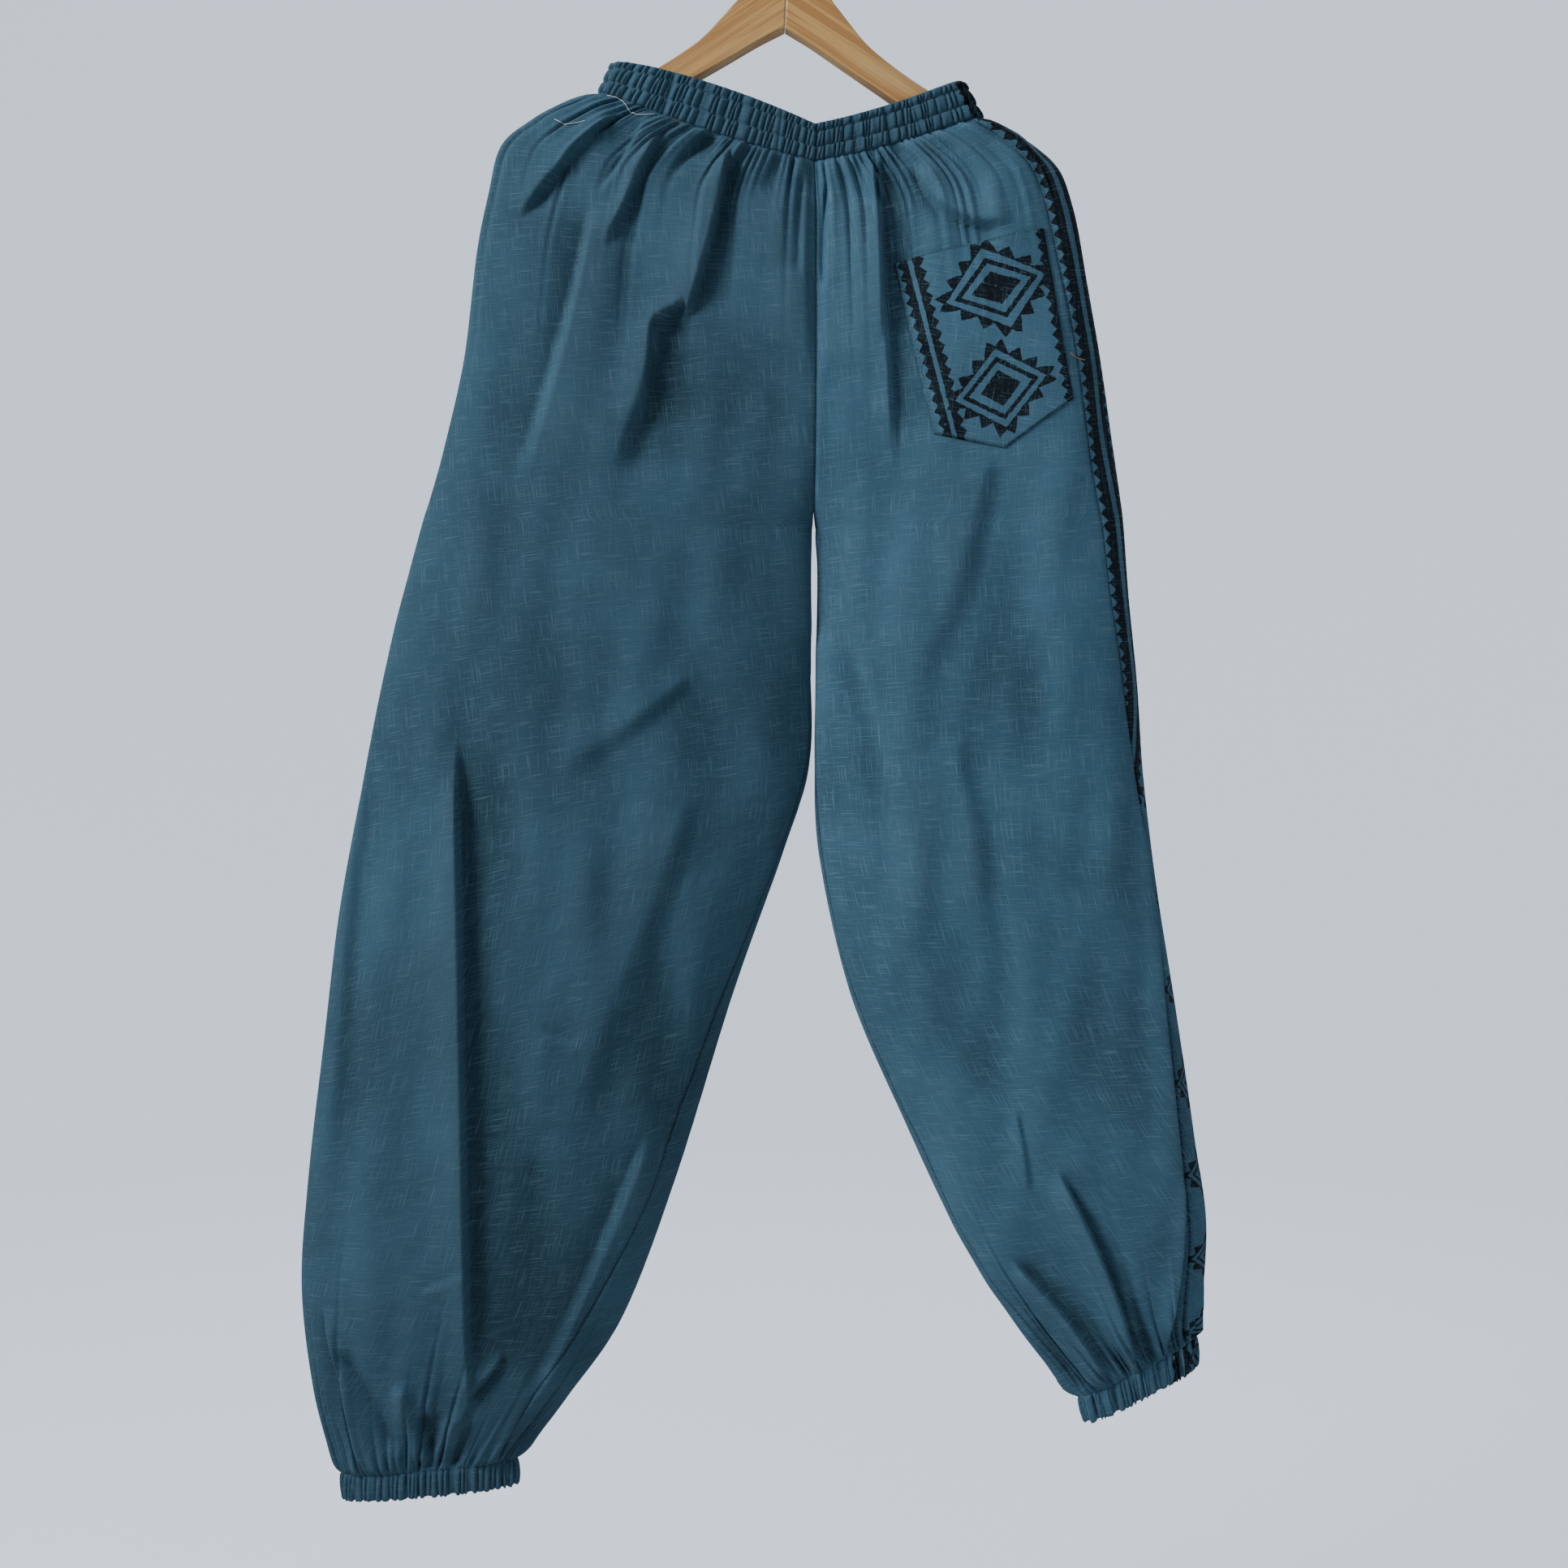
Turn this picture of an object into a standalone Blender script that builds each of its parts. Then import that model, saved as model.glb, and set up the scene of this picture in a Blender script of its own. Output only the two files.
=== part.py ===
"""Cotton trousers with an elastic waistband and elastic cuffs, on a flat pine hanger.

The back of the trousers faces -Y and +X runs to the wearer's right. The origin is
the inside top of the hanger's hook, where a rail carries it. Sizes in the tables
are in millimetres; MM turns them into Blender's metres.
"""

import math
from collections import namedtuple

import bmesh
import bpy
import numpy as np
from mathutils import Vector
from mathutils.bvhtree import BVHTree

MM = 0.001

# Cloth
WALL = 1.6                 # cloth with its seam allowances, as a wall
BAND_WALL = 2.6            # doubled cloth over elastic
CUFF_WALL = 2.2
SEAM_GAP = 0.3             # between one cut piece and the next
POCKET_WALL = 1.2
POCKET_LIFT = 0.7          # from the panel's face to the pocket's back

# Ring and column counts
PATH_SAMPLES = 160
BACK_COLUMNS = 22
SIDE_COLUMNS = 6
FRONT_COLUMNS = 16
BAND_WAVES = {"left": 65, "right": 51}
CUFF_WAVES = {"left": 44, "right": 40}

# Crotch
CROTCH_Z = -456.0
CROTCH_CURVE = 90.0        # height over which the centre seam curves in to the crotch

# Hanger
WOOD_THICKNESS = 12.0
WOOD_EDGE_ROUND = 3.0
WOOD_TILT = math.radians(2.2)
WOOD_CENTRE = (0.0, -99.0)  # x and z of the bottom of the joint between the arms
HOOK_INSIDE_RADIUS = 19.0
HOOK_WIRE_RADIUS = 1.8
HOOK_SEAT = 0.8            # how far the arms' rounding drops under the wire's end

# A row for each section of a leg, from the waistband's seam to the cuff's.
# The outer edge is the garment's side, the inner edge its centre seam, then its inseam.
# side_back and side_front are how far in from the outer edge the two side seams show;
# a negative side_back lies round the edge, on the front.
# inseam is how far in from the inner edge that seam shows on the back.
Section = namedtuple(
    "Section", "outer_x outer_z inner_x inner_z side_back side_front inseam")

LEFT_LEG = (
    Section(-131.7, -145.0, 20.7, -196.0, -4, 34, 0),
    Section(-153.7, -152.0, 21.2, -207.1, -6, 42, 0),
    Section(-179.5, -164.6, 21.8, -220.4, -8, 50, 0),
    Section(-201.5, -183.5, 22.3, -236.5, -8, 56, 0),
    Section(-211.1, -216.3, 22.3, -257.2, -8, 62, 0),
    Section(-219.8, -256.9, 22.2, -289.2, -8, 68, 0),
    Section(-229.1, -332.3, 22.2, -346.7, -8, 72, 0),
    Section(-243.0, -395.0, 21.6, -406.6, -8, 74, 0),
    Section(-253.5, -433.0, 20.7, -440.0, -8, 74, 0),
    Section(-259.5, -452.0, 19.7, -456.5, -8, 74, 0),
    Section(-271.0, -496.0, 18.6, -495.0, -8, 74, 0),
    Section(-287.7, -564.3, 19.1, -558.5, -8, 74, 0),
    Section(-303.9, -648.4, 17.4, -625.2, -9, 72, 1),
    Section(-319.0, -738.3, -1.2, -686.1, -10, 70, 4),
    Section(-330.6, -831.1, -37.1, -787.6, -10, 68, 7),
    Section(-341.0, -923.9, -77.7, -918.1, -10, 64, 15),
    Section(-345.1, -999.3, -115.4, -1016.7, -9, 56, 25),
    Section(-337.0, -1070.1, -154.9, -1073.6, -6, 44, 25),
    Section(-324.2, -1113.0, -179.8, -1103.7, -3, 30, 18),
    Section(-316.7, -1129.5, -192.3, -1118.8, -2, 24, 12),
)

RIGHT_LEG = (
    Section(140.9, -162.4, 20.7, -196.0, 10, 26, 0),
    Section(157.2, -169.0, 21.2, -207.1, 14, 32, 0),
    Section(178.1, -181.6, 21.8, -220.4, 18, 38, 0),
    Section(195.0, -198.5, 22.3, -236.5, 20, 42, 0),
    Section(204.2, -225.0, 22.3, -257.2, 20, 46, 0),
    Section(211.7, -259.8, 22.2, -289.2, 20, 50, 0),
    Section(225.0, -332.3, 22.2, -346.7, 18, 54, 0),
    Section(234.3, -396.1, 21.6, -406.6, 20, 54, 0),
    Section(239.5, -433.0, 20.7, -440.0, 20, 54, 0),
    Section(241.9, -453.0, 21.7, -456.5, 19, 54, 0),
    Section(245.3, -500.5, 22.6, -494.7, 17, 56, 0),
    Section(251.7, -564.3, 21.5, -558.5, 12, 60, 0),
    Section(256.4, -633.9, 20.9, -625.2, 6, 66, 0),
    Section(266.2, -715.1, 24.9, -691.9, 3, 66, 1),
    Section(279.6, -799.2, 47.0, -787.6, 7, 62, 2),
    Section(292.3, -886.2, 84.7, -876.4, 11, 56, 3),
    Section(299.3, -952.9, 125.3, -961.6, 14, 48, 5),
    Section(298.1, -999.3, 165.3, -1023.7, 14, 40, 7),
    Section(295.8, -1022.5, 194.9, -1059.1, 12, 30, 6),
    Section(293.5, -1031.2, 210.5, -1074.7, 8, 20, 4),
)

# Rows between one section and the next, from the waist down
ROWS_BETWEEN = (1, 1, 1, 1, 1, 1, 1, 1, 1, 1, 1, 2, 2, 2, 2, 1, 2, 1, 1)

# How full the cloth hangs at each section. square is the exponent of the rounded end:
# high where the waistband holds the cloth flat, low where it hangs free. sag is how
# far the middle of the section hangs below the line between its ends.
Fullness = namedtuple("Fullness", "back front square sag")

FULLNESS = (
    Fullness(11.0, 11.0, 8.0, 3.5),
    Fullness(13.0, 12.0, 7.0, 3.0),
    Fullness(15.0, 13.5, 6.0, 2.0),
    Fullness(17.0, 15.0, 5.0, 1.0),
    Fullness(19.0, 16.0, 4.2, 0.0),
    Fullness(21.0, 17.5, 3.6, 0.0),
    Fullness(23.0, 19.0, 3.0, 0.0),
    Fullness(24.0, 20.0, 2.8, 0.0),
    Fullness(24.0, 20.0, 2.6, 0.0),
    Fullness(24.0, 20.0, 2.5, 0.0),
    Fullness(25.0, 20.0, 2.4, 0.0),
    Fullness(27.0, 21.0, 2.4, 0.0),
    Fullness(29.0, 22.0, 2.4, 0.0),
    Fullness(31.0, 23.0, 2.4, 0.0),
    Fullness(33.0, 24.0, 2.4, 0.0),
    Fullness(34.0, 25.0, 2.4, 0.0),
    Fullness(32.0, 24.0, 2.4, 0.0),
    Fullness(25.0, 19.0, 2.5, 0.0),
    Fullness(16.0, 14.0, 2.7, 0.0),
    Fullness(12.0, 12.0, 3.0, 0.0),
)

# The main folds. Each runs along a curve from start past its bend to its end.
# On the way down, left and right are how far the cloth stands out on that side
# of the line as the back is seen; a minus sign is a hollow.
Fold = namedtuple("Fold", "start_x start_z bend_x bend_z end_x end_z width left right")

BACK_FOLDS = (
    Fold(-39, -188, -46, -243, -71, -314, 12, 4, -5),
    Fold(-88, -316, -95, -355, -112, -415, 24, 2.5, -3),
    Fold(-117, -163, -149, -188, -188, -241, 11, 1.5, -3.5),
    Fold(-86, -174, -108, -224, -126, -259, 11, 3, -3),
    Fold(-140, -237, -149, -307, -186, -424, 26, -3, 3),
    Fold(-11, -216, -5, -270, -12, -344, 26, 3, 3),
    Fold(46, -222, 51, -282, 44, -355, 22, 3, 3),
    Fold(68, -185, 69, -276, 79, -415, 16, 2.5, -2.5),
    Fold(92, -205, 104, -254, 161, -243, 13, -2, 3),
    Fold(148, -404, 139, -475, 98, -572, 34, 3, -3),
    Fold(-236, -603, -229, -827, -225, -1069, 17, 5, -6),
    Fold(-170, -901, -174, -992, -196, -1062, 22, -3, -3),
    Fold(-88, -867, -128, -975, -190, -1094, 17, -3, 3),
    Fold(-322, -1009, -309, -1075, -300, -1129, 10, -2, 3),
    Fold(-312, -1035, -284, -1075, -270, -1117, 8, -4, -4),
    Fold(-270, -1055, -263, -1097, -253, -1124, 7, 4, 4),
    Fold(-252, -1080, -250, -1106, -246, -1129, 8, -6, -6),
    Fold(-225, -1078, -240, -1101, -252, -1126, 7, 3, 3),
    Fold(189, -907, 229, -978, 253, -1066, 10, 4, -5),
    Fold(158, -972, 209, -1015, 234, -1072, 10, -5, 4),
    Fold(252, -648, 270, -822, 280, -941, 9, 2, -4),
    Fold(279, -907, 281, -992, 268, -1049, 9, 2, -4),
)

FRONT_FOLDS = (
    Fold(-62, -180, -70, -240, -98, -330, 13, 3, -4),
    Fold(-112, -170, -138, -215, -160, -270, 12, -3, 2),
    Fold(-150, -300, -165, -400, -205, -520, 26, 3, -3),
    Fold(-14, -215, -8, -290, -20, -380, 24, 3, 3),
    Fold(52, -210, 60, -290, 50, -390, 22, 3, 3),
    Fold(104, -190, 118, -270, 150, -380, 14, -4, 3),
    Fold(150, -420, 160, -520, 130, -640, 30, -3, 3),
    Fold(-190, -600, -205, -800, -228, -1040, 20, -4, 4),
    Fold(-130, -780, -160, -930, -220, -1090, 20, 3, -4),
    Fold(-300, -980, -296, -1060, -282, -1125, 9, 4, -4),
    Fold(-250, -1050, -254, -1095, -258, -1128, 8, -4, 4),
    Fold(190, -700, 210, -850, 252, -1020, 22, 3, -4),
    Fold(150, -930, 190, -1000, 232, -1070, 12, -4, 3),
    Fold(272, -950, 276, -1000, 266, -1050, 9, 3, -4),
)

# Small gathers where the cloth is drawn in to the elastic: how many there are
# round a leg, how far they stand out and how soon they fade.
Gather = namedtuple("Gather", "count height length phase")

WAIST_GATHERS = (Gather(20, 1.5, 14.0, 0.3), Gather(9, 1.8, 34.0, 1.1), Gather(5, 1.6, 60.0, 2.0))
CUFF_GATHERS = (Gather(18, 1.3, 9.0, 0.9), Gather(8, 2.0, 24.0, 0.2), Gather(5, 1.8, 45.0, 1.7))
GATHER_RAMP = 9.0          # gathers and folds start this far from the elastic's seam

# The cloth lies on the arms down to this height, so it isn't pressed in past them.
ARMS_LOWEST_Z = -232.0
CLOTH_ON_ARMS = 8.9        # half the wood, its clearance and the wall

# The waistband's ends and centre, at its bottom and top edges
BandEdge = namedtuple("BandEdge", "left_x left_z centre_x centre_z right_x right_z sag_left sag_right")
BAND_BOTTOM = BandEdge(-131.7, -145.0, 20.7, -196.0, 140.9, -162.4, 3.5, 3.5)
BAND_TOP = BandEdge(-121.8, -123.5, 21.3, -169.6, 127.0, -136.3, -5.0, 3.0)
BAND_HALF_DEPTH = 11.0
BAND_SQUARE = 8.0

# Rows of the waistband from its bottom to its top: the share of its height,
# how far it puffs out there and how high its gathers stand.
BandRow = namedtuple("BandRow", "height puff wave")
BAND_ROWS = (
    BandRow(0.0, 0.0, 0.7),
    BandRow(0.36, -0.9, 0.35),
    BandRow(0.58, 0.7, 1.0),
    BandRow(0.80, -0.8, 0.35),
    BandRow(1.0, -0.1, 1.2),
)
CUFF_ROWS = (BandRow(0.0, 0.0, 0.6), BandRow(0.5, 0.5, 1.0), BandRow(1.0, 0.0, 1.1))

# Lower edges of the cuffs; their upper edges are the legs' last sections.
CuffEdge = namedtuple("CuffEdge", "outer_x outer_z inner_x inner_z")
CUFF_BOTTOM = {
    "left": CuffEdge(-316.0, -1147.4, -191.2, -1136.4),
    "right": CuffEdge(295.0, -1051.5, 215.0, -1092.7),
}
CUFF_HALF_DEPTH = {"left": 12.0, "right": 12.0}
CUFF_SQUARE = 3.0

# Corners of the patch pocket as the back is seen, clockwise from its upper left
POCKET_CORNERS = {
    "upper_left": (76.9, -270.1),
    "upper_right": (182.5, -246.2),
    "lower_right": (203.5, -365.8),
    "tip": (154.3, -402.2),
    "lower_left": (104.2, -392.5),
}
POCKET_TIP_SHARE = 0.52    # how far across the pocket its tip lies
POCKET_COLUMNS = 8
POCKET_ROWS = 9

# Upper and lower edges of a hanger arm, from the joint out; x from the joint,
# z from the bottom of the joint.
ARM_UPPER = (
    (0.0, 40.0), (14.0, 37.0), (26.0, 29.0), (36.0, 17.0), (46.0, 5.0), (58.0, -8.5),
    (70.0, -18.5), (88.0, -31.0), (108.0, -43.0), (130.0, -55.0), (152.0, -65.0),
    (172.0, -76.6), (184.0, -86.6), (191.0, -96.0),
)
ARM_LOWER = (
    (192.5, -103.0), (190.0, -109.0), (183.0, -110.5), (173.0, -104.0), (155.0, -92.0),
    (130.0, -78.5), (100.0, -62.5), (70.0, -43.0), (40.0, -24.0), (18.0, -10.0), (0.0, 0.0),
)

# Colours
TEAL = (0.048, 0.125, 0.185)
TEAL_DARK = (0.036, 0.104, 0.150)
PINE = (0.62, 0.42, 0.22)
STEEL = (0.60, 0.60, 0.60)


def clear_scene():
    for item in list(bpy.data.objects):
        bpy.data.objects.remove(item, do_unlink=True)


def make_material(name, colour, roughness, metallic=0.0):
    material = bpy.data.materials.new(name)
    material.use_nodes = True
    shader = material.node_tree.nodes["Principled BSDF"]
    shader.inputs["Base Color"].default_value = (*colour, 1.0)
    shader.inputs["Roughness"].default_value = roughness
    shader.inputs["Metallic"].default_value = metallic
    return material


def make_object(name, points, faces, material, smooth=True):
    """One closed body from points in millimetres, with its faces turned outwards."""
    mesh = bpy.data.meshes.new(name)
    mesh.from_pydata([Vector(point) * MM for point in points], [], faces)
    shell = bmesh.new()
    shell.from_mesh(mesh)
    bmesh.ops.recalc_face_normals(shell, faces=shell.faces)
    shell.to_mesh(mesh)
    shell.free()
    if smooth:
        mesh.shade_smooth()
        mesh.set_sharp_from_angle(angle=math.radians(60))
    mesh.materials.append(material)
    item = bpy.data.objects.new(name, mesh)
    bpy.context.scene.collection.objects.link(item)
    return item


def smooth_step(value):
    value = np.clip(value, 0.0, 1.0)
    return value * value * (3.0 - 2.0 * value)


def smooth_rows(rows, steps):
    """Rows of a table joined by a smooth curve through them, as an array."""
    table = np.array(rows, dtype=float)
    result = []
    for index, count in enumerate(steps):
        before = table[max(index - 1, 0)]
        start = table[index]
        end = table[index + 1]
        after = table[min(index + 2, len(table) - 1)]
        for step in range(count):
            share = step / count
            result.append(0.5 * (
                2.0 * start
                + (end - before) * share
                + (2.0 * before - 5.0 * start + 4.0 * end - after) * share ** 2
                + (3.0 * start - before - 3.0 * end + after) * share ** 3))
    result.append(table[-1])
    return np.array(result)


# The path of the cloth round a leg
class Path:
    """The cloth's outer face round one section, from the inner edge over the back
    to the outer edge and home over the front. It is open above the crotch."""

    def __init__(self, outer, inner, back, front, square, sag=0.0, opening=0.0):
        self.opening = opening
        self.outer = np.array((outer[0], 0.0, outer[1]))
        self.inner = np.array((inner[0], 0.0, inner[1]))
        self.chord = float(np.linalg.norm(self.outer - self.inner))
        self.across = (self.outer - self.inner) / self.chord
        angle = np.linspace(0.0, math.pi, PATH_SAMPLES)
        self.share = (1.0 - np.cos(angle)) / 2.0
        rounding = np.abs(2.0 * self.share - 1.0) ** square
        kept = np.where(self.share < 0.5, opening ** 2, 0.0) * rounding
        depth = np.sqrt(np.maximum(1.0 - rounding + kept, 0.0))
        line = self.inner + self.share[:, None] * (self.outer - self.inner)
        line[:, 2] -= sag * 4.0 * self.share * (1.0 - self.share)
        back_side = line - np.outer(depth * back, (0.0, 1.0, 0.0))
        front_side = line + np.outer(depth * front, (0.0, 1.0, 0.0))
        self.points = np.vstack((back_side, front_side[::-1][1:]))
        steps = np.linalg.norm(np.diff(self.points, axis=0), axis=1)
        self.lengths = np.concatenate(((0.0,), np.cumsum(steps)))
        self.total = self.lengths[-1]
        self.edge = self.lengths[PATH_SAMPLES - 1]

    def back_length(self, from_outer):
        """Length along the path of a point on the back, or on the front if negative."""
        if from_outer >= 0.0:
            return float(np.interp(1.0 - from_outer / self.chord, self.share,
                                   self.lengths[:PATH_SAMPLES]))
        return self.front_length(-from_outer)

    def front_length(self, from_outer):
        front = self.lengths[PATH_SAMPLES - 1:]
        return float(np.interp(from_outer / self.chord, (1.0 - self.share)[::-1], front))

    def inseam_length(self, from_inner):
        return float(np.interp(from_inner / self.chord, self.share,
                               self.lengths[:PATH_SAMPLES]))

    def at(self, length):
        length = np.asarray(length, dtype=float)
        if self.opening == 0.0:
            length = np.mod(length, self.total)
        return np.stack([np.interp(length, self.lengths, self.points[:, axis])
                         for axis in range(3)], axis=-1)

    def outward(self, length):
        """Directions straight out of the cloth, in the section's own plane."""
        reach = 0.8
        length = np.asarray(length, dtype=float)
        if self.opening == 0.0:
            tangent = self.at(length + reach) - self.at(length - reach)
        else:
            ahead = np.minimum(length + reach, self.total)
            behind = np.maximum(length - reach, 0.0)
            tangent = self.at(ahead) - self.at(behind)
        along = tangent @ self.across
        through = tangent[:, 1]
        normal = np.outer(through, self.across) - np.outer(along, (0.0, 1.0, 0.0))
        if self.opening > 0.0:
            at_seam = (length < 1.0) | (length > self.total - 1.0)
            normal[at_seam] *= (0.0, 1.0, 0.0)
        return normal / np.linalg.norm(normal, axis=1)[:, None]


def opening_at(inner_z):
    """1 above the crotch's curve, where back and front stay apart, and 0 below it."""
    if inner_z <= CROTCH_Z:
        return 0.0
    below_start = max(CROTCH_Z + CROTCH_CURVE - inner_z, 0.0) / CROTCH_CURVE
    return math.sqrt(1.0 - below_start ** 2)


# Folds and gathers
def fold_curve(fold, samples=10):
    share = np.linspace(0.0, 1.0, samples)[:, None]
    start = np.array((fold.start_x, fold.start_z))
    bend = np.array((fold.bend_x, fold.bend_z))
    end = np.array((fold.end_x, fold.end_z))
    return (1 - share) ** 2 * start + 2 * share * (1 - share) * bend + share ** 2 * end


def fold_height(fold, points):
    """How far one fold moves the cloth at points given as x and z."""
    curve = fold_curve(fold)
    nearest = np.full(len(points), np.inf)
    side = np.zeros(len(points))
    along = np.zeros(len(points))
    for index in range(len(curve) - 1):
        run = curve[index + 1] - curve[index]
        length = np.linalg.norm(run)
        offset = points - curve[index]
        share = np.clip(offset @ run / length ** 2, 0.0, 1.0)
        distance = np.linalg.norm(offset - share[:, None] * run, axis=1)
        closer = distance < nearest
        nearest[closer] = distance[closer]
        across = (offset @ np.array((-run[1], run[0]))) / length
        side[closer] = across[closer]
        along[closer] = (index + share[closer]) / (len(curve) - 1)
    shape = np.exp(-(nearest / fold.width) ** 2)
    ends = smooth_step(along / 0.25) * smooth_step((1.0 - along) / 0.25)
    right_share = smooth_step(0.5 + side / (0.5 * fold.width))
    height = fold.left + (fold.right - fold.left) * right_share
    return height * shape * ends


def gather_height(gathers, turn, distance):
    """turn is the share of the way round the leg; distance is from the elastic's seam."""
    total = np.zeros_like(turn)
    for gather in gathers:
        wave = np.sin(2.0 * math.pi * gather.count * turn + gather.phase)
        uneven = 0.7 + 0.3 * np.sin(5.0 * math.pi * turn + 2.0 * gather.phase)
        total += gather.height * wave * uneven * math.exp(-distance / gather.length)
    return total


def cloth_points(path, lengths, from_waist, from_cuff):
    """The cloth's outer face with its folds, and the same points a wall further in."""
    base = path.at(lengths)
    outward = path.outward(lengths)
    turn = np.mod(lengths, path.total) / path.total
    lift = gather_height(WAIST_GATHERS, turn, from_waist)
    lift += gather_height(CUFF_GATHERS, turn, from_cuff)
    flat = base[:, (0, 2)]
    back = np.zeros(len(base))
    for fold in BACK_FOLDS:
        back += fold_height(fold, flat)
    front = np.zeros(len(base))
    for fold in FRONT_FOLDS:
        front += fold_height(fold, flat)
    lift += np.where(base[:, 1] < 0.0, back, front)
    lift *= smooth_step(np.abs(base[:, 1]) / 9.0)
    lift *= smooth_step(from_waist / GATHER_RAMP) * smooth_step(from_cuff / GATHER_RAMP)
    if path.opening > 0.0:
        from_seam = np.minimum(lengths, path.total - lengths)
        lift *= smooth_step(from_seam / 16.0)
    outer = base + outward * lift[:, None]
    on_arms = (base[:, 2] > ARMS_LOWEST_Z) & (np.abs(outer[:, 1]) < CLOTH_ON_ARMS)
    pressed = on_arms & (np.abs(base[:, 1]) > CLOTH_ON_ARMS)
    outer[pressed, 1] = np.sign(base[pressed, 1]) * CLOTH_ON_ARMS
    return outer, outer - outward * WALL


# The six panels
def leg_paths(sections):
    rows = smooth_rows(sections, ROWS_BETWEEN)
    full = smooth_rows(FULLNESS, ROWS_BETWEEN)
    rows[0, 1] -= SEAM_GAP / 2
    rows[0, 3] -= SEAM_GAP / 2
    rows[-1, 1] += SEAM_GAP / 2
    rows[-1, 3] += SEAM_GAP / 2
    paths = []
    for row, depth in zip(rows, full):
        paths.append(Path(row[0:2], row[2:4], depth[0], depth[1], depth[2], depth[3],
                          opening_at(row[3])))
    return rows, paths


def panel_walls(sections):
    """Outer and inner points of the back, side and front panels, row by row."""
    rows, paths = leg_paths(sections)
    middle = (rows[:, 0:2] + rows[:, 2:4]) / 2.0
    steps = np.linalg.norm(np.diff(middle, axis=0), axis=1)
    from_waist = np.concatenate(((0.0,), np.cumsum(steps)))
    panels = {"back": [], "side": [], "front": []}
    half_gap = SEAM_GAP / 2
    for row, path, distance in zip(rows, paths, from_waist):
        inseam = path.inseam_length(max(row[6], 0.0)) if path.opening == 0.0 else 0.0
        seams = (
            ("back", inseam, path.back_length(row[4]), BACK_COLUMNS),
            ("side", path.back_length(row[4]), path.front_length(row[5]), SIDE_COLUMNS),
            ("front", path.front_length(row[5]), path.total + inseam, FRONT_COLUMNS),
        )
        for name, start, end, columns in seams:
            lengths = np.linspace(start + half_gap, end - half_gap, columns + 1)
            panels[name].append(
                cloth_points(path, lengths, distance, from_waist[-1] - distance))
    return panels


def sheet_object(name, walls, material):
    """A cloth wall from rows of outer and inner points, closed round its edges."""
    rows = len(walls)
    columns = len(walls[0][0])
    points = [point for outer, _ in walls for point in outer]
    points += [point for _, inner in walls for point in inner]

    def outer_at(row, column):
        return row * columns + column

    def inner_at(row, column):
        return (rows + row) * columns + column

    faces = []
    for row in range(rows - 1):
        for column in range(columns - 1):
            corners = ((row, column), (row, column + 1), (row + 1, column + 1), (row + 1, column))
            faces.append([outer_at(*corner) for corner in corners])
            faces.append([inner_at(*corner) for corner in reversed(corners)])
    for column in range(columns - 1):
        for row in (0, rows - 1):
            faces.append([outer_at(row, column), outer_at(row, column + 1),
                          inner_at(row, column + 1), inner_at(row, column)])
    for row in range(rows - 1):
        for column in (0, columns - 1):
            faces.append([outer_at(row, column), outer_at(row + 1, column),
                          inner_at(row + 1, column), inner_at(row, column)])
    return make_object(name, points, faces, material)


def build_panels(side, sections):
    walls = panel_walls(sections)
    made = {}
    for name in ("back", "side", "front"):
        material = make_material(f"{name}_cotton_{side}", TEAL, 0.88)
        made[name] = sheet_object(f"{name}_panel_{side}", walls[name], material)
    return made


# The waistband and cuffs
def loop_object(name, outer_loops, inner_loops, material):
    """A gathered band: outer loops from bottom to top, and a plain inside."""
    count = len(outer_loops[0])
    loops = list(outer_loops) + list(reversed(inner_loops))
    points = [point for loop in loops for point in loop]
    faces = []
    for index in range(len(loops)):
        after = (index + 1) % len(loops)
        for column in range(count):
            beside = (column + 1) % count
            faces.append([index * count + column, index * count + beside,
                          after * count + beside, after * count + column])
    return make_object(name, points, faces, material)


def wave_heights(count, seed):
    """Alternate ridges and hollows, two points to a wave, none quite like the next."""
    uneven = np.random.default_rng(seed).uniform(0.65, 1.25, count)
    signs = np.where(np.arange(count) % 2 == 0, 1.0, -0.8)
    return signs * uneven


def band_half(edge, side, waves):
    """Points and outward directions of half the waistband, from its centre back."""
    outer = (edge.left_x, edge.left_z) if side == "left" else (edge.right_x, edge.right_z)
    sag = edge.sag_left if side == "left" else edge.sag_right
    path = Path(outer, (edge.centre_x, edge.centre_z), BAND_HALF_DEPTH, BAND_HALF_DEPTH,
                BAND_SQUARE, sag, 1.0)
    lengths = np.linspace(0.0, path.total, 2 * waves + 1)
    return path.at(lengths), path.outward(lengths)


def build_waistband():
    bottom = np.array(BAND_BOTTOM)
    top = np.array(BAND_TOP)
    bottom[[1, 3, 5]] += SEAM_GAP / 2
    waves = wave_heights(2 * sum(BAND_WAVES.values()), seed=11)
    outer_loops = []
    inner_loops = []
    for row in BAND_ROWS:
        edge = BandEdge(*(bottom + (top - bottom) * row.height))
        left, left_out = band_half(edge, "left", BAND_WAVES["left"])
        right, right_out = band_half(edge, "right", BAND_WAVES["right"])
        base = np.vstack((left[:-1], right[::-1][:-1]))
        outward = np.vstack((left_out[:-1], right_out[::-1][:-1]))
        lift = row.puff + row.wave * waves
        outer_loops.append(base + outward * lift[:, None])
        if row.height in (0.0, 1.0):
            inner_loops.append(base - outward * (BAND_WALL - 1.0))
    material = make_material("waistband_cotton", TEAL_DARK, 0.9)
    return loop_object("waistband", outer_loops, inner_loops, material)


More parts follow.
